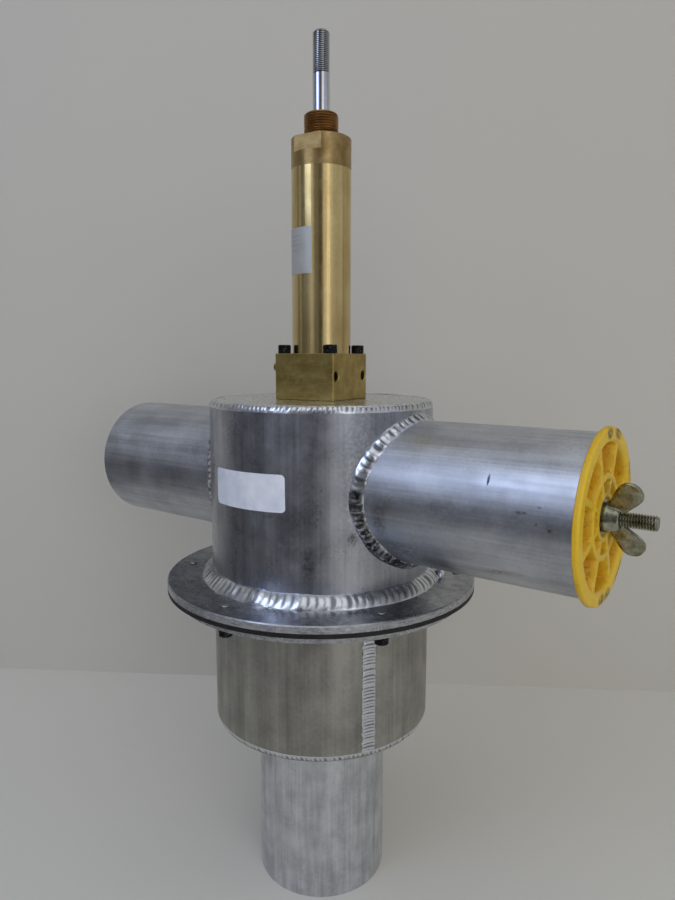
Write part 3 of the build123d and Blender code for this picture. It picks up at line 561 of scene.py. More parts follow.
# %% [markdown]
# ## Meshes from rings
#
# Everything that is built again here is a skin through rings of points: a turned part is a stack
# of circles, a weld bead is one section carried along a path, and a tube is circles at its ends
# and edges. `shell` makes such a skin. `piece` joins shells into one object, gives it its finish,
# and says which parts it stands for and which body it moves with.


# %% Skins and pieces
def shell(rings, loop=False, valleys=None):
    """A skin through closed rings of points; loop joins the last ring to the first."""
    count = len(rings[0])
    spans = len(rings) if loop else len(rings) - 1
    faces = []
    for span in range(spans):
        first, second = span * count, (span + 1) % len(rings) * count
        for step in range(count):
            after = (step + 1) % count
            faces.append((first + step, first + after, second + after, second + step))
    if not loop:
        faces.append(tuple(reversed(range(count))))
        faces.append(tuple(range((len(rings) - 1) * count, len(rings) * count)))
    points = [Vector(point) for ring in rings for point in ring]
    depths = [value for ring in valleys for value in ring] if valleys else [0.0] * len(points)
    return points, faces, depths


def piece(name, shells, material, body, slot, *nodes, crease=32.0):
    """One object from shells, on a body, in place of the named parts."""
    points, faces, depths = [], [], []
    for more_points, more_faces, more_depths in shells:
        start = len(points)
        points += [point * MM for point in more_points]
        faces += [tuple(start + corner for corner in face) for face in more_faces]
        depths += more_depths
    mesh = bpy.data.meshes.new(name)
    mesh.from_pydata(points, [], faces)
    work = bmesh.new()
    work.from_mesh(mesh)
    bmesh.ops.recalc_face_normals(work, faces=work.faces)
    work.to_mesh(mesh)
    work.free()
    mesh.attributes.new("valley", "FLOAT", "POINT").data.foreach_set("value", depths)
    mesh.shade_smooth()
    mesh.set_sharp_from_angle(angle=math.radians(crease))
    mesh.materials.append(material)
    made = bpy.data.objects.new(name, mesh)
    bpy.context.scene.collection.objects.link(made)
    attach(made, body)
    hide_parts(*nodes)
    print(name, len(points), "points for", ", ".join(nodes))
    return made


# %% [markdown]
# ## Weld beads
#
# A TIG bead on aluminium is a row of overlapping scales, each a small pool that froze with its
# edge bowed back towards the start. Its toes wander, because a hand fed the rod. The section is a
# slightly full fillet, carried round the joint. Each scale rises and falls once, with its own
# height, and is shifted back towards the toes, which gives it the bowed edge.


# %% One bead along a path
def fillet(leg_out, leg_up, fullness, steps=9):
    """The outer line of a fillet, from the toe on one side to the toe on the other."""
    outline = []
    for step in range(steps):
        turn = math.pi / 2 * step / (steps - 1)
        out = leg_out * max(math.cos(turn), 0.0) ** (2 / fullness)
        outline.append((out, leg_up * max(math.sin(turn), 0.0) ** (2 / fullness)))
    return outline


lump_size = 4.5  # how far apart a hand-fed rod leaves its uneven lumps


def bead(path, outline, root, scales, depth, seed, bow=0.45, closed=True, rows_each=6, blobs=()):
    """A rippled bead; path(u) gives the corner and the two ways out of it. Each blob is where
    along the path it is, its half width there, and how far it stands out."""
    dice = random.Random(seed)
    lift = [dice.uniform(0.2, 1.4) for _ in range(scales)]
    early = [dice.uniform(-0.22, 0.22) for _ in range(scales)]
    waves = [(dice.randint(3, 17), dice.uniform(0, 6.28), dice.uniform(0.01, 0.03))
             for _ in range(5)]
    count, last = scales * rows_each, len(outline) - 1
    rings, valleys = [], []
    for row in range(count if closed else count + 1):
        along = row / count
        corner, out, up = path(along)
        wander = 1 + sum(size * math.sin(6.283 * turns * along + start)
                         for turns, start, size in waves)
        ring, ring_valleys = [], []
        for index, (a, b) in enumerate(outline):
            share = math.sin(math.pi * index / last)
            phase = along * scales - bow * share
            scale = math.floor(phase)
            crown = 1 - (2 * (phase - scale + early[scale % scales]) - 1) ** 2
            rise = depth * share**1.4 * lift[scale % scales] * (max(crown, 0.0) ** 1.3 - 0.5)
            point = corner + out * a + up * b
            rise += 1.5 * depth * share * noise.noise(point / lump_size)
            for where, half, height in blobs:
                rise += height * share * math.exp(-((along - where) / half) ** 2)
            size = math.hypot(a, b) or 1.0
            a, b = a * wander + rise * a / size, b * wander + rise * b / size
            ring.append(corner + out * a + up * b)
            ring_valleys.append((1 - max(crown, 0.0)) * share)
        ring += [corner + out * a + up * b for a, b in root]
        ring_valleys += [0.0] * len(root)
        rings.append(ring)
        valleys.append(ring_valleys)
    return shell(rings, loop=closed, valleys=valleys)


def round_joint(radius, height, side):
    """The path of a weld round a can; side is 1 above the joint and -1 below it."""
    def path(along):
        turn = 2 * math.pi * along
        out = Vector((math.cos(turn), math.sin(turn), 0))
        return out * radius + Vector((0, 0, height)), out, Vector((0, 0, side))
    return path


def scales_round(radius, pitch):
    """How many scales of a pitch fit round a joint."""
    return round(2 * math.pi * radius / pitch)


# %% [markdown]
# The heaviest bead joins the upper can to its flange. Its root is sunk a little into both, so
# that no gap shows. Beside it on the right stands a tack, a lump of weld metal that held the can
# while it was welded.

# %% Bead at the can's foot
sunk = 0.5
foot_leg = corners("upper_flange_weld")[1].x - upper_can_r
root = [(-sunk, foot_leg - 0.2), (-sunk, -sunk), (foot_leg - 0.2, -sunk)]
foot_blobs = [(0.772, 0.008, 1.7), (0.735, 0.004, 0.8), (0.83, 0.005, 0.7), (0.03, 0.006, 0.9)]
foot = bead(round_joint(upper_can_r, flange_top, 1), fillet(foot_leg + 0.4, foot_leg + 0.4, 1.3),
            root, scales_round(upper_can_r + 4, 5.4), 0.3, seed=11, blobs=foot_blobs)
print("leg of the foot bead", round(foot_leg, 2))

# %% Tack
tack_r, tack_height, tack_reach, tack_turn = 4.3, 7.6, 93.4, math.radians(24.4)
tack_foot = Vector((tack_reach * math.cos(tack_turn), tack_reach * math.sin(tack_turn),
                    flange_top - 0.3))
tack_rings = []
for step in range(9):
    polar = math.pi / 2 * step / 8
    lump = tack_r * math.cos(polar) + 0.02
    ring = []
    for side in range(20):
        turn = 2 * math.pi * side / 20
        ring.append(tack_foot + Vector((lump * math.cos(turn) * (1 + 0.08 * math.sin(3 * turn)),
                                        lump * math.sin(turn), tack_height * math.sin(polar))))
    tack_rings.append(ring)
piece("upper_flange_bead", [foot, shell(tack_rings)], weld_metal, "valve_body", "weld",
      "upper_flange_weld")

# %% [markdown]
# The beads under the lower flange and round the lower tube, inside the lower can's rim, are
# smaller fillets of the same kind, turned to face down.

# %% Beads that face down
small_leg = corners("lower_flange_weld")[1].x - lower_can_r
small_root = [(-sunk, small_leg - 0.2), (-sunk, -sunk), (small_leg - 0.2, -sunk)]
under = bead(round_joint(lower_can_r, flange_bottom, -1), fillet(small_leg, small_leg, 1.25),
             small_root, scales_round(lower_can_r, 4.4), 0.4, seed=12)
piece("lower_flange_bead", [under], weld_metal, "valve_body", "weld", "lower_flange_weld")
below = bead(round_joint(pipe_r, pipe_high.z, -1), fillet(small_leg, small_leg, 1.25),
             small_root, scales_round(pipe_r, 4.4), 0.4, seed=13)
piece("lower_pipe_bead", [below], weld_metal, "valve_body", "weld", "lower_pipe_weld")

# %% [markdown]
# The two rims were welded on their outer corner, where can and end plate meet edge to edge. The
# bead there is a rounded edge with finer scales.


# %% Rim beads
rim_width = 4.4


def rim_bead(node, side, seed):
    """A bead over the outer corner of a can and its end plate."""
    low, high = corners(node)
    outer, inner = high.x, high.x - rim_width
    height = low.z if side > 0 else high.z
    legs = fillet(outer - inner, high.z - low.z + 0.3, 2.1, steps=10)
    hidden = [(0.0, 0.0)]
    return bead(round_joint(inner, height, side), legs, hidden,
                scales_round(outer, 3.4), 0.28, seed, bow=0.3)


piece("top_edge_bead", [rim_bead("top_edge_weld", 1, 21)], weld_metal, "valve_body", "weld",
      "top_edge_weld")
piece("lower_edge_bead", [rim_bead("lower_edge_weld", -1, 22)], weld_metal, "valve_body", "weld",
      "lower_edge_weld")

# %% [markdown]
# Where a round tube meets a round can the joint is a saddle. Its corner is easy to write down:
# go round the tube and push each point out to the can. The bead's two legs lie along the two
# surfaces, square to the joint, and the path's direction crossed with each surface's normal
# gives them.


# %% Saddle beads
def saddle(side, inner_r):
    """The path of the weld round a side tube; side is 1 on +X and -1 on -X."""
    def path(along):
        turn = 2 * math.pi * along
        way = Vector((0, math.cos(turn), math.sin(turn)))
        reach = math.sqrt(upper_can_r**2 - (inner_r * way.y) ** 2)
        corner = Vector((side * reach, inner_r * way.y, port_height + inner_r * way.z))
        slope = side * inner_r**2 * way.y * way.z / reach
        ahead = Vector((slope, -inner_r * way.z, inner_r * way.y)).normalized()
        can_normal = Vector((corner.x, corner.y, 0)).normalized()
        over_can = ahead.cross(can_normal).normalized()
        over_tube = ahead.cross(way).normalized()
        over_can *= math.copysign(1, over_can.dot(way))
        over_tube *= math.copysign(1, over_tube.x * side)
        return corner, over_can, over_tube
    return path


saddle_leg = corners("right_saddle_weld")[1].y - pipe_r
saddle_root = [(-sunk, saddle_leg), (-sunk, -sunk), (saddle_leg - 0.8, -sunk - 0.2)]
saddle_blobs = [(0.37, 0.012, 0.9), (0.405, 0.01, 1.3), (0.45, 0.012, 0.8), (0.52, 0.01, 0.9)]
for name, side, seed in (("left", -1, 31), ("right", 1, 32)):
    joint = bead(saddle(side, pipe_r - 0.1), fillet(saddle_leg, saddle_leg + 1.2, 1.5),
                 saddle_root, scales_round(pipe_r, 4.5), 0.5, seed, blobs=saddle_blobs)
    piece(f"{name}_saddle_bead", [joint], sooty_weld if side > 0 else weld_metal, "valve_body",
          "weld", f"{name}_saddle_weld")

# %% [markdown]
# Each can was rolled from sheet and closed by one seam up its side. The bead there is flat and
# low, with a bright crown and clear edges.


# %% Seam beads
def up_the_side(radius, angle, bottom, top):
    """The path of a seam that climbs a can's side, by its angle from +X."""
    turn = math.radians(angle)
    out = Vector((math.cos(turn), math.sin(turn), 0))
    across = Vector((-math.sin(turn), math.cos(turn), 0))

    def path(along):
        return out * radius + Vector((0, 0, bottom + (top - bottom) * along)), across, out
    return path


def crown(width, rise, steps=11):
    """The outer line of a flat bead."""
    turns = [math.pi * step / (steps - 1) for step in range(steps)]
    return [(width / 2 * math.cos(turn), rise * math.sin(turn) ** 0.8) for turn in turns]


seam_width, seam_rise, seam_pitch = 10.4, 1.15, 2.3
seam_root = [(-4.8, -sunk - 0.3), (4.8, -sunk - 0.3)]
seams = []
for radius, angle, bottom, top, seed in (
    (lower_can_r, -29.0, lower_can_low.z + 0.4, flange_bottom - 3.0, 41),
    (upper_can_r, 90.0, flange_top + 4.0, upper_can_high.z - 0.4, 42),
):
    path = up_the_side(radius, angle, bottom, top)
    scales = round((top - bottom) / seam_pitch)
    seams.append(bead(path, crown(seam_width, seam_rise), seam_root, scales, 0.24, seed,
                      bow=0.6, closed=False))
piece("seam_beads", seams, weld_metal, "valve_body", "weld", "seam_welds")

# %% [markdown]
# ## Turned and threaded pieces
#
# A lathe part is a stack of rings, and the radius of a ring may itself change round the part.
# That is enough for a screw thread: the radius dips where the point is in the groove, and the
# groove climbs one pitch each turn. It is enough for a knurled head and a hexagon socket too.


# %% Turning and threading
def upright(point):
    """Leaves a point where it was made, about the valve's own axis."""
    return Vector(point)


def along_tubes(point):
    """Lays a point that was made about +Z along the side tubes, pointing to +X."""
    x, y, z = point
    return Vector((z, x, y + port_height))


def spun(stations, count=72, place=upright):
    """A skin from (height, radius) stations; a radius may be a function of the turn."""
    rings = []
    for height, radius in stations:
        ring = []
        for step in range(count):
            turn = 2 * math.pi * step / count
            r = radius(turn) if callable(radius) else radius
            ring.append(place((r * math.cos(turn), r * math.sin(turn), height)))
        rings.append(ring)
    return rings


def grooves(stations, major_r, depth, count=72):
    """How deep in a groove each point of a thread lies, from 0 on its crests to 1."""
    deep = []
    for _, radius in stations:
        turns = [2 * math.pi * step / count for step in range(count)]
        cut = [major_r - radius(turn) if callable(radius) else 0.0 for turn in turns]
        deep.append([min(max(value / depth, 0.0), 1.0) for value in cut])
    return deep


def threaded(bottom, top, major_r, pitch, chamfer=0.0, steps=8):
    """Stations of a right-hand thread, chamfered at its top."""
    count = max(2, round((top - bottom) / pitch * steps))
    depth = 0.6 * pitch
    stations = []
    for step in range(count + 1):
        height = bottom + (top - bottom) * step / count
        most = min(major_r, major_r - chamfer + (top - height))

        def radius(turn, height=height, most=most):
            climb = (height / pitch - turn / (2 * math.pi)) % 1.0
            groove = min(max(abs(2 * climb - 1) * 1.35 - 0.2, 0.0), 1.0)
            return min(most, major_r - depth * groove)
        stations.append((height, radius))
    return stations


# %% [markdown]
# The rod is ground and chromed, with a half-inch thread of 20 turns to the inch at each end, and
# grooves for the piston's clips. Its threads are the same stations as its plain lengths, with
# radii that dip.

# %% Rod
inch = 25.4
rod_low, rod_high = corners("piston_rod")
rod_r, rod_thread_r, rod_pitch = rod_high.x, 6.19, inch / 20
top_thread = rod_high.z - 28.8
lower_thread = corners("valve_disc")[1].z + 8.0
piston_low, piston_high = corners("piston")
clip, clip_r = 1.5, rod_r - 0.7
rod_stations = [(rod_low.z, rod_thread_r - 1.3)]
rod_stations += threaded(rod_low.z + 0.3, lower_thread, rod_thread_r, rod_pitch)
rod_stations += [
    (lower_thread + 0.3, rod_r),
    (piston_low.z - clip, rod_r),
    (piston_low.z - clip, clip_r),
    (piston_low.z, clip_r),
    (piston_low.z, rod_r),
    (piston_high.z, rod_r),
    (piston_high.z, clip_r),
    (piston_high.z + clip, clip_r),
    (piston_high.z + clip, rod_r),
    (top_thread - 0.6, rod_r),
]
rod_stations += threaded(top_thread, rod_high.z, rod_thread_r, rod_pitch, chamfer=1.3)
rod_grooves = grooves(rod_stations, rod_thread_r, 0.6 * rod_pitch, 56)
rod_shell = shell(spun(rod_stations, 56), valleys=rod_grooves)
piece("threaded_rod", [rod_shell], chrome, "rod", "chrome_rod", "piston_rod")

# %% [markdown]
# The gland screws into the cap. It has a plain neck, then a thread of 14 turns to the inch for a
# panel nut. The bushing runs in its bore and the wiper sits in a wider mouth.

# %% Gland
gland_low, gland_high = corners("threaded_gland")
neck_top, mouth_depth = cap_top + 4.0, 4.0
nose_r, neck_r, foot_r, bore_r, wiper_r = gland_high.x, 10.3, 10.9, 8.12, 9.02
gland_stations = [
    (gland_high.z - mouth_depth, bore_r),
    (gland_low.z, bore_r),
    (gland_low.z, foot_r),
    (cap_top, foot_r),
    (cap_top, neck_r + 0.7),
    (cap_top + 0.7, neck_r),
    (neck_top - 0.4, neck_r),
    (neck_top, neck_r + 0.6),
    (neck_top + 0.1, nose_r - 1.0),
]
gland_stations += threaded(neck_top + 0.5, gland_high.z - 0.2, nose_r, inch / 14, chamfer=1.0)
gland_stations += [(gland_high.z, nose_r - 1.3), (gland_high.z, wiper_r),
                   (gland_high.z - mouth_depth, wiper_r)]
piece("gland_with_thread", [shell(spun(gland_stations, 96), loop=True)], gland_bronze,
      "valve_body", "gland_bronze", "threaded_gland")

# %% [markdown]
# The plug's bolt is threaded along its whole shank, and its hexagon head is inside the tube.

# %% Plug bolt
bolt_low, bolt_high = corners("plug_bolt")
bolt_r, bolt_pitch, head_flats = 4.765, inch / 16, 14.3
head_top = bolt_low.x + 6.2


def hexagon(across_flats):
    """The radius of a hexagon at a turn."""
    def radius(turn):
        return across_flats / 2 / math.cos((turn + math.pi / 6) % (math.pi / 3) - math.pi / 6)
    return radius


def softened(across_flats, most):
    """A hexagon whose corners a chamfer has cut back to a circle."""
    flat = hexagon(across_flats)
    return lambda turn: min(flat(turn), most)


bolt_stations = [
    (bolt_low.x, 6.2),
    (bolt_low.x + 0.4, softened(head_flats, 7.5)),
    (bolt_low.x + 0.9, hexagon(head_flats)),
    (head_top, hexagon(head_flats)),
    (head_top, bolt_r),
]
bolt_stations += threaded(head_top + 0.3, bolt_high.x, bolt_r, bolt_pitch, chamfer=1.0)
bolt_grooves = grooves(bolt_stations, bolt_r, 0.6 * bolt_pitch, 48)
bolt_shell = shell(spun(bolt_stations, 48, along_tubes), valleys=bolt_grooves)
piece("threaded_plug_bolt", [bolt_shell], zinc, "plug_bolt", "zinc_steel", "plug_bolt")

# %% [markdown]
# Every screw is the same quarter-inch cap screw with a knurled head and a hexagon socket. One is
# made about the Z axis and set in each hole. The flange screws go in from below, so theirs are
# turned over, and only their tips show above the flange.


# %% Socket screws
def socket_screw(under_head, tip):
    """A cap screw whose head is above under_head, in the valve's heights."""
    head_r, shank_r, head_top, key = 4.765, inch / 8, under_head + inch / 4, 4.76

    def knurled(turn):
        return head_r - 0.16 * abs(math.sin(18 * turn))
    stations = [(tip, 2.3), (tip + 0.6, 2.9)]
    stations += threaded(tip + 0.7, tip + 6.0, shank_r, inch / 20, steps=6)
    stations += [
        (tip + 6.4, shank_r - 0.1),
        (under_head, shank_r - 0.1),
        (under_head, head_r - 0.3),
        (under_head + 0.3, knurled),
        (head_top - 1.3, knurled),
        (head_top - 1.1, head_r),
        (head_top - 0.5, head_r),
        (head_top, head_r - 0.6),
        (head_top, 3.0),
        (head_top - 0.25, hexagon(key)),
        (head_top - 3.0, hexagon(key)),
    ]
    return stations


def turned_about(turn, x, y):
    """Moves a point to (x, y) and turns it about the valve's axis."""
    spin = Matrix.Rotation(math.radians(turn), 3, "Z")
    return lambda point: spin @ Vector((point[0] + x, point[1] + y, point[2]))


def turned_over(place):
    """The same place with the point turned half way about the X axis first."""
    return lambda point: place((point[0], -point[1], -point[2]))


# %% Flange screws
screw_circle_r, screw_tips = 106.0, corners("flange_screws")[1].z
flange_stations = socket_screw(-flange_bottom, -screw_tips)
flange_places = [turned_over(turned_about(30 + 60 * index, screw_circle_r, 0))
                 for index in range(6)]
flange_shells = [shell(spun(flange_stations, 72, place)) for place in flange_places]
piece("flange_cap_screws", flange_shells, flange_black, "valve_body", "black_screw",
      "flange_screws")

# %% Block screws
block_turn, block_offset = 6.5, 20.3
block_stations = socket_screw(block_top, corners("block_screws")[0].z)
block_shells = []
for x_side, y_side in ((1, 1), (-1, 1), (-1, -1), (1, -1)):
    place = turned_about(block_turn, x_side * block_offset, y_side * block_offset)
    block_shells.append(shell(spun(block_stations, 72, place)))
piece("block_cap_screws", block_shells, block_black, "valve_body", "black_screw", "block_screws")

# %% [markdown]
# ## Side tubes
#
# A coped tube end follows the can. Each ring here goes round the tube, and its distance from the
# valve's axis slides from the cope to the open end. A band saw and a file left the ends with a
# fine bevel. The tube isn't perfectly round near its end, which is what bends its highlight.


# %% Side tubes
def side_tube(side, reach):
    """A coped tube; side is 1 on +X and -1 on -X."""
    inner_r = pipe_r - pipe_wall
    rings = []

    def ring(radius, share, back=0.0):
        made = []
        for step in range(144):
            turn = 2 * math.pi * step / 144
            cope = math.sqrt((upper_can_r - 0.6) ** 2 - (radius * math.cos(turn)) ** 2)
            x = cope + (reach - back - cope) * share
            dent = 0.16 * math.exp(-((x - reach + 8) / 11) ** 2) * math.cos(3 * turn + 0.6)
            sag = 0.10 * math.sin(x / 19.0 + 1.3 * math.cos(turn)) * share
            r = radius + min(dent + sag, 0.0)
            made.append(Vector((side * x, r * math.cos(turn), port_height + r * math.sin(turn))))
        return made

    for share in (0.0, 0.5, 1.0):
        rings.append(ring(inner_r, share, 0.5))
    rings.append(ring(inner_r + 0.5, 1.0))
    rings.append(ring(pipe_r - 0.5, 1.0))
    for step in range(25):
        rings.append(ring(pipe_r, 1.0 - step / 24, 0.5 if step == 0 else 0.0))
    return shell(rings, loop=True)


piece("left_tube", [side_tube(-1, left_reach)], drawn, "valve_body", "satin_aluminium", "left_pipe")
piece("right_tube", [side_tube(1, right_reach)], drawn, "valve_body", "satin_aluminium",
      "right_pipe")

# %% [markdown]
# ## Expansion plug
#
# The plug's face is one moulding: a raised rim, two rings of pockets with ribs between them, and
# a recess for the washer. Moulded pockets have sloping walls and soft corners so that they leave
# the mould. A height for every point of a polar grid gives both: each edge is a smooth step.


# %% Plug face
def ease(value, low, high):
    """0 below low, 1 above high, and a smooth slope between."""
    share = min(max((value - low) / (high - low), 0.0), 1.0)
    return share * share * (3 - 2 * share)


# A ring of pockets: the radii where its inner wall starts and ends, and its outer wall too.
outer_pockets, inner_pockets = (26.6, 28.6, 43.6, 45.6), (15.2, 16.8, 21.4, 22.8)
outer_depth, inner_depth, hub_depth, rim_round = 9.6, 9.0, 3.0, 1.6


def in_pockets(radius, walls):
    """1 within a ring of pockets and 0 outside it, with sloping walls."""
    return ease(radius, *walls[:2]) * (1 - ease(radius, *walls[2:]))


def plug_depth(radius, turn):
    """How far a point of the plug's face lies behind its rim."""
    nearest = (turn + math.pi / 8) % (math.pi / 4) - math.pi / 8
    rib = radius * abs(math.sin(math.pi / 8 - abs(nearest)))
    rim = 1.0 - ease(radius, 45.6, 47.0)
    outer = in_pockets(radius, outer_pockets) * ease(rib, 2.0, 4.2)
    inner = in_pockets(radius, inner_pockets) * ease(rib, 1.4, 3.0)
    hub = 1 - ease(radius, 11.4, 12.4)
    lip = 0.5 * math.exp(-((radius - 24.6) / 1.3) ** 2)
    over = max(radius - (rim_r - rim_round), 0.0)
    edge = rim_round - math.sqrt(max(rim_round**2 - over**2, 0.0))
    return rim + outer_depth * outer + inner_depth * inner + hub_depth * hub - lip + edge


plug_columns, spigot_r, bolt_hole_r = 320, pipe_r - pipe_wall - 1.0, 4.85
radii = [bolt_hole_r + (rim_r - bolt_hole_r) * step / 110 for step in range(111)]
plug_rings = []
for radius in radii:
    turns = [2 * math.pi * step / plug_columns for step in range(plug_columns)]
    plug_rings.append([along_tubes((radius * math.cos(turn), radius * math.sin(turn),
                                    rim_top - plug_depth(radius, turn))) for turn in turns])
back = [(right_reach + 0.5, rim_r), (right_reach + 0.1, rim_r - 0.5), (right_reach + 0.1, spigot_r),
        (plug_low.x + 0.6, spigot_r), (plug_low.x, spigot_r - 0.6), (plug_low.x, bolt_hole_r)]
plug_rings += spun(back, plug_columns, along_tubes)
piece("moulded_plug", [shell(plug_rings, loop=True)], yellow, "plug", "yellow_plastic", "plug_disc",
      crease=50.0)

# %% [markdown]
# ## Wing nut
#
# The nut is a casting: a coned hub with two thick wings that lean outwards. Its faces are hollow
# between rounded rims, and the wings flow into the hub. Each wing is a row of flattened ovals
# from root to tip. A voxel remesh then joins wings and hub into one skin, and smoothing gives the
# soft corners of a casting.


# %% Wing nut
hub_foot, hub_height, hub_r = corners("wing_nut")[0].x, 10.0, 9.25
wing_turn = math.radians(22.0)


def nut_place(point):
    """The wings are made in the XZ plane; they stand nearly upright on the bolt."""
    x, y, z = point
    lean = Matrix.Rotation(math.pi / 2 + wing_turn, 2) @ Vector((x, y))
    return along_tubes((lean.x, lean.y, hub_foot + z))


def wing(side):
    """Ovals along a wing: wide and hollow in its middle, and round at its tip."""
    start, end = Vector((4.6, 5.2)), Vector((19.0, 15.4))
    ahead = (end - start).normalized()
    across = Vector((-ahead.y, ahead.x))
    length, rings, steps = (end - start).length + 6.4, [], 22
    for step in range(steps + 1):
        share = step / steps
        reach = length * math.sin(share * math.pi / 2)
        width = 5.4 + 2.3 * ease(share, 0.0, 0.5)
        tip = max(reach - (length - 7.2), 0.0) / 7.2
        width *= math.sqrt(max(1 - tip**2.2, 0.0004))
        centre = start + ahead * reach + across * 0.9 * math.sin(share * 2.6)
        ring = []
        for turn_step in range(28):
            turn = 2 * math.pi * turn_step / 28
            flat = abs(math.cos(turn)) ** 0.75 * math.copysign(1, math.cos(turn))
            rim = max(abs(flat), tip**2)
            thick = (1.15 + 0.75 * rim**3) * min(1.0, width / 1.9)
            swell = abs(math.sin(turn)) ** 0.6 * math.copysign(1, math.sin(turn))
            skin = centre + across * width * flat
            ring.append(nut_place((side * skin.x, side * thick * swell, skin.y)))
        rings.append(ring)
    return shell(rings)


hub = [(0.0, bolt_hole_r + 0.15), (0.0, hub_r - 0.5), (0.5, hub_r), (2.4, hub_r),
       (5.0, hub_r - 0.9), (hub_height - 0.6, hub_r - 2.0), (hub_height, hub_r - 2.8),
       (hub_height, bolt_hole_r + 0.15)]
hub_rings = spun([(hub_foot + height, radius) for height, radius in hub], 72, along_tubes)
nut = piece("cast_wing_nut", [shell(hub_rings, loop=True), wing(1), wing(-1)], zinc, "wing_nut",
            "zinc_steel", "wing_nut")


def cast_together(made, voxel, rounds):
    """Joins overlapping shells into one skin and softens it."""
    remesh = made.modifiers.new("one skin", "REMESH")
    remesh.mode = "VOXEL"
    remesh.voxel_size = voxel * MM
    smooth = made.modifiers.new("cast corners", "SMOOTH")
    smooth.factor = 0.5
    smooth.iterations = rounds
    shaped = made.evaluated_get(bpy.context.evaluated_depsgraph_get())
    final = bpy.data.meshes.new_from_object(shaped)
    made.modifiers.clear()
    made.data = final
    final.shade_smooth()
    print(made.name, "cast as one skin of", len(final.polygons), "faces")


cast_together(nut, 0.38, 5)

# %% [markdown]
# ## Stage, light and camera
#
# The valve stands on a pale bench against a pale wall. Bare metal shows its surroundings more
# than itself, so the room matters: a bright ceiling, a dark side to the left and in front,
# and a tall bright doorway to the right that draws the thin light bands down the brass. One large
# cool light, high in front, draws the band along the right tube.


# %% Paint and plain sheets
def plain_paint(name, colour, variation):
    """Matt paint that varies a little in wide clouds."""
    material, tree, shader = finish(name, colour, roughness=0.75)
    clouds = grain(tree, millimetres(tree), 240.0, detail=4.0)
    tones = {0: clouds, 6: linear(colour), 7: linear(colour, variation)}
    feed(tree, shader, Base_Color=add(tree, "Mix", tones, **as_colour))
    return material, tree


def see_through(tree, amount):
    """Makes a paint clear where the amount is 1."""
    solid = tree.nodes["Principled BSDF"].outputs[0]
    clear = add(tree, "BsdfTransparent")
    mixed = add(tree, "MixShader", {0: amount, 1: solid, 2: clear})
    tree.links.new(mixed, tree.nodes["Material Output"].inputs["Surface"])


def sheet_of(name, points, material):
    """A flat sheet of the stage, through its corner points."""
    mesh = bpy.data.meshes.new(name)
    mesh.from_pydata([Vector(point) * MM for point in points], [], [tuple(range(len(points)))])
    mesh.materials.append(material)
    made = bpy.data.objects.new(name, mesh)
    bpy.context.scene.collection.objects.link(made)
    print(name, "in", material.name)


# %% [markdown]
# The tubes mirror the bench. A real bench ends somewhere, so for reflections this one fades out
# between 540 and 740 mm from the valve, on the side where the room is dark. To the eye and to
# soft light it goes on.

# %% Bench
bench_paint, bench_tree = plain_paint("pale bench", "#D2D0C8", 0.96)
bench_place = millimetres(bench_tree)
dark_way = add(bench_tree, "VectorMath", {0: bench_place, 1: (-0.766, -0.643, 0.0)},
               output="Value", operation="DOT_PRODUCT")
dark_side = add(bench_tree, "MapRange", {0: dark_way, 1: -140.0, 2: -20.0})
reach = add(bench_tree, "VectorMath", {0: bench_place}, output="Value", operation="LENGTH")
past_edge = add(bench_tree, "MapRange", {0: reach, 1: 540.0, 2: 740.0})
past_edge = add(bench_tree, "Math", {0: past_edge, 1: dark_side}, operation="MULTIPLY")
mirrored = add(bench_tree, "LightPath", output="Is Glossy Ray")
see_through(bench_tree, add(bench_tree, "Math", {0: past_edge, 1: mirrored}, operation="MULTIPLY"))
half = 4000
sheet_of("bench", [(-half, -half, 0), (half, -half, 0), (half, half, 0), (-half, half, 0)],
         bench_paint)

# %% [markdown]
# The wall stands behind the valve at a slant. Its far side is clear, so that the valve shows from
# behind too.

# %% Wall
wall_paint, wall_tree = plain_paint("pale wall", "#BBB9B2", 0.97)
see_through(wall_tree, add(wall_tree, "NewGeometry", output="Backfacing"))
wall_start, wall_way = Vector((-557.0, 10.0, 0.0)), Vector((0.842, 0.539, 0.0))
wall_left, wall_right = wall_start - wall_way * 2500, wall_start + wall_way * 3500
up = Vector((0, 0, 3000))
sheet_of("wall", [wall_left, wall_right, wall_right + up, wall_left + up], wall_paint)

# %% [markdown]
# The room itself is the world. Height above the horizon sets how bright it is, and the compass
# direction adds the dark side and the bright doorway. Only reflections and soft light see it: past
# the bench and the wall the camera finds plain pale grey.


# %% Room
# Where each upright band starts and ends, in degrees from +X towards +Y, and how bright it is.
room_bands = [
    (-180.0, -146.0, 0.14), (-143.0, -136.0, 0.35), (-130.0, -112.0, 0.1), (-109.0, -100.0, 0.2),
    (-98.0, -80.0, 0.4), (-78.0, -62.0, 0.13), (-46.0, -36.0, 0.8), (-34.0, -18.0, 1.25),
    (-17.0, -8.0, 0.55), (-8.0, 40.0, 0.4),
]


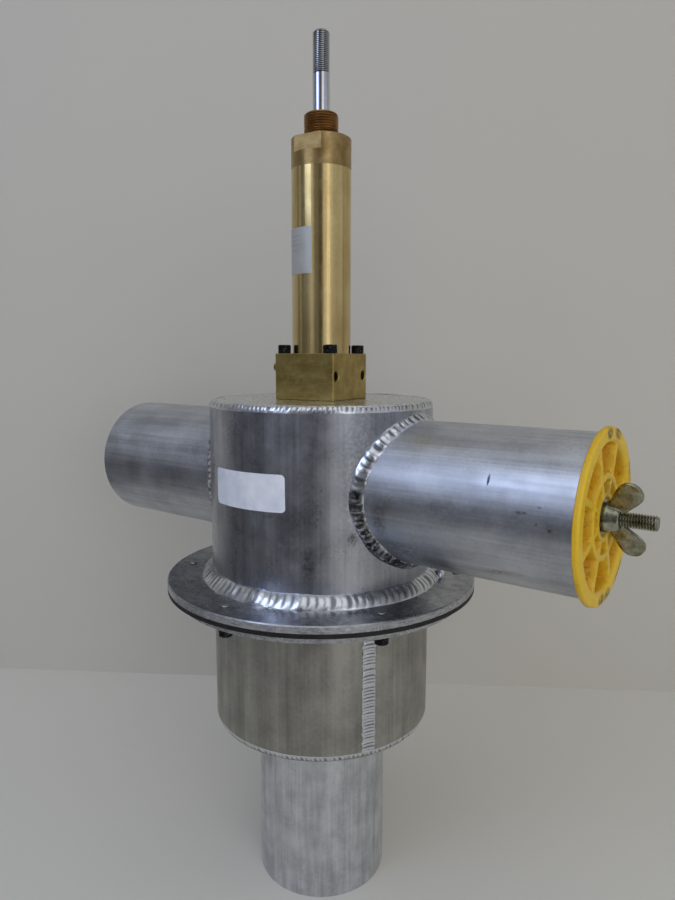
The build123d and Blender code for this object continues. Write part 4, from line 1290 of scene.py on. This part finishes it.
def room():
    """The world: a bright ceiling over walls in light and dark bands."""
    world = bpy.data.worlds.new("room")
    bpy.context.scene.world = world
    world.use_nodes = True
    tree = world.node_tree
    way = add(tree, "TexCoord", output="Generated")
    x = add(tree, "SeparateXYZ", {0: way}, output="X")
    y, z = x.node.outputs["Y"], x.node.outputs["Z"]
    compass = add(tree, "Math", {0: y, 1: x}, operation="ARCTAN2")
    compass = add(tree, "Math", {0: compass, 1: 180 / math.pi}, operation="MULTIPLY")
    high = add(tree, "MapRange", {0: z, 1: 0.32, 2: 0.8, 3: 0.0, 4: 1.0},
               interpolation_type="SMOOTHSTEP")
    low = add(tree, "MapRange", {0: z, 1: -0.12, 2: 0.04, 3: 0.07, 4: 1.0})
    walls = None
    for start, end, level in room_bands:
        rise = add(tree, "MapRange", {0: compass, 1: start - 3, 2: start + 3},
                   interpolation_type="SMOOTHSTEP")
        fall = add(tree, "MapRange", {0: compass, 1: end - 3, 2: end + 3, 3: 1.0, 4: 0.0},
                   interpolation_type="SMOOTHSTEP")
        band = add(tree, "Math", {0: rise, 1: fall}, operation="MULTIPLY")
        band = add(tree, "Math", {0: band, 1: level}, operation="MULTIPLY")
        walls = add(tree, "Math", {0: walls, 1: band}, operation="ADD") if walls else band
    walls = add(tree, "Math", {0: walls, 1: low}, operation="MULTIPLY")
    walls = add(tree, "Math", {0: walls, 1: 0.07}, operation="ADD")
    side_light = add(tree, "VectorMath", {0: linear("#F6F7FF")[:3], "Scale": walls},
                     operation="SCALE")
    lit = add(tree, "Mix", {0: high, 6: side_light, 7: linear("#E2E9F5", 0.56)}, **as_colour)
    seen = add(tree, "LightPath", output="Is Camera Ray")
    shown = add(tree, "Mix", {0: seen, 6: lit, 7: linear("#A3A29D")}, **as_colour)
    tree.links.new(shown, tree.nodes["Background"].inputs["Color"])
    tree.nodes["Background"].inputs["Strength"].default_value = 1.0
    print("bands in the room", len(room_bands))


room()


# %% [markdown]
# Soft lights are large. Each one here is a plain rectangle aimed at the valve, with its power
# worked out from how bright its face should look, so that its size can be changed by itself.


# %% Lights
def panel(name, place, target, width, height, brightness, colour, mirrored=True):
    """A rectangular light; brightness is how bright its face looks, if metal mirrors it."""
    light = bpy.data.lights.new(name, "AREA")
    light.shape = "RECTANGLE"
    light.size, light.size_y = width * MM, height * MM
    light.color = linear(colour)[:3]
    light.energy = brightness * light.size * light.size_y * math.pi
    made = bpy.data.objects.new(name, light)
    made.visible_glossy = mirrored
    made.location = Vector(place) * MM
    made.rotation_euler = (Vector(target) - Vector(place)).to_track_quat("-Z", "Y").to_euler()
    bpy.context.scene.collection.objects.link(made)


middle = (0, 0, 330)
panel("window band", (-260, -1150, 1190), (150, 0, 320), 620, 960, 2.3, "#CBDBFF")
panel("ceiling", (500, -500, 2000), middle, 1500, 1500, 0.45, "#FFF8EE")
panel("far fill", (1500, 900, 1300), middle, 900, 900, 0.7, "#FFF6E8", mirrored=False)
panel("front fill", (1500, -1100, 650), (0, 100, 60), 1900, 1100, 1.4, "#FFFBF4", mirrored=False)
panel("low fill", (900, -1000, 480), (60, 0, 0), 1300, 500, 0.9, "#FFFBF4", mirrored=False)

# %% [markdown]
# The camera stands in front of the valve and to its right, and looks a little down. Its place
# and two directions make its matrix: right, up and backwards are the first three columns.

# %% Camera
camera_data = bpy.data.cameras.new("camera")
camera_data.lens = 27.32
camera_data.sensor_width = 36.0
camera = bpy.data.objects.new("camera", camera_data)
ahead = Vector((-0.59234, 0.79421, -0.13551))
above = Vector((-0.08274, 0.10734, 0.99077))
right = ahead.cross(above)
camera.matrix_world = Matrix((
    (right.x, above.x, -ahead.x, 0.32627),
    (right.y, above.y, -ahead.y, -0.41667),
    (right.z, above.z, -ahead.z, 0.41571),
    (0, 0, 0, 1),
))
bpy.context.scene.collection.objects.link(camera)
bpy.context.scene.camera = camera
bpy.context.scene.view_settings.view_transform = "Standard"
print("camera at", [round(value, 3) for value in camera.matrix_world.translation])
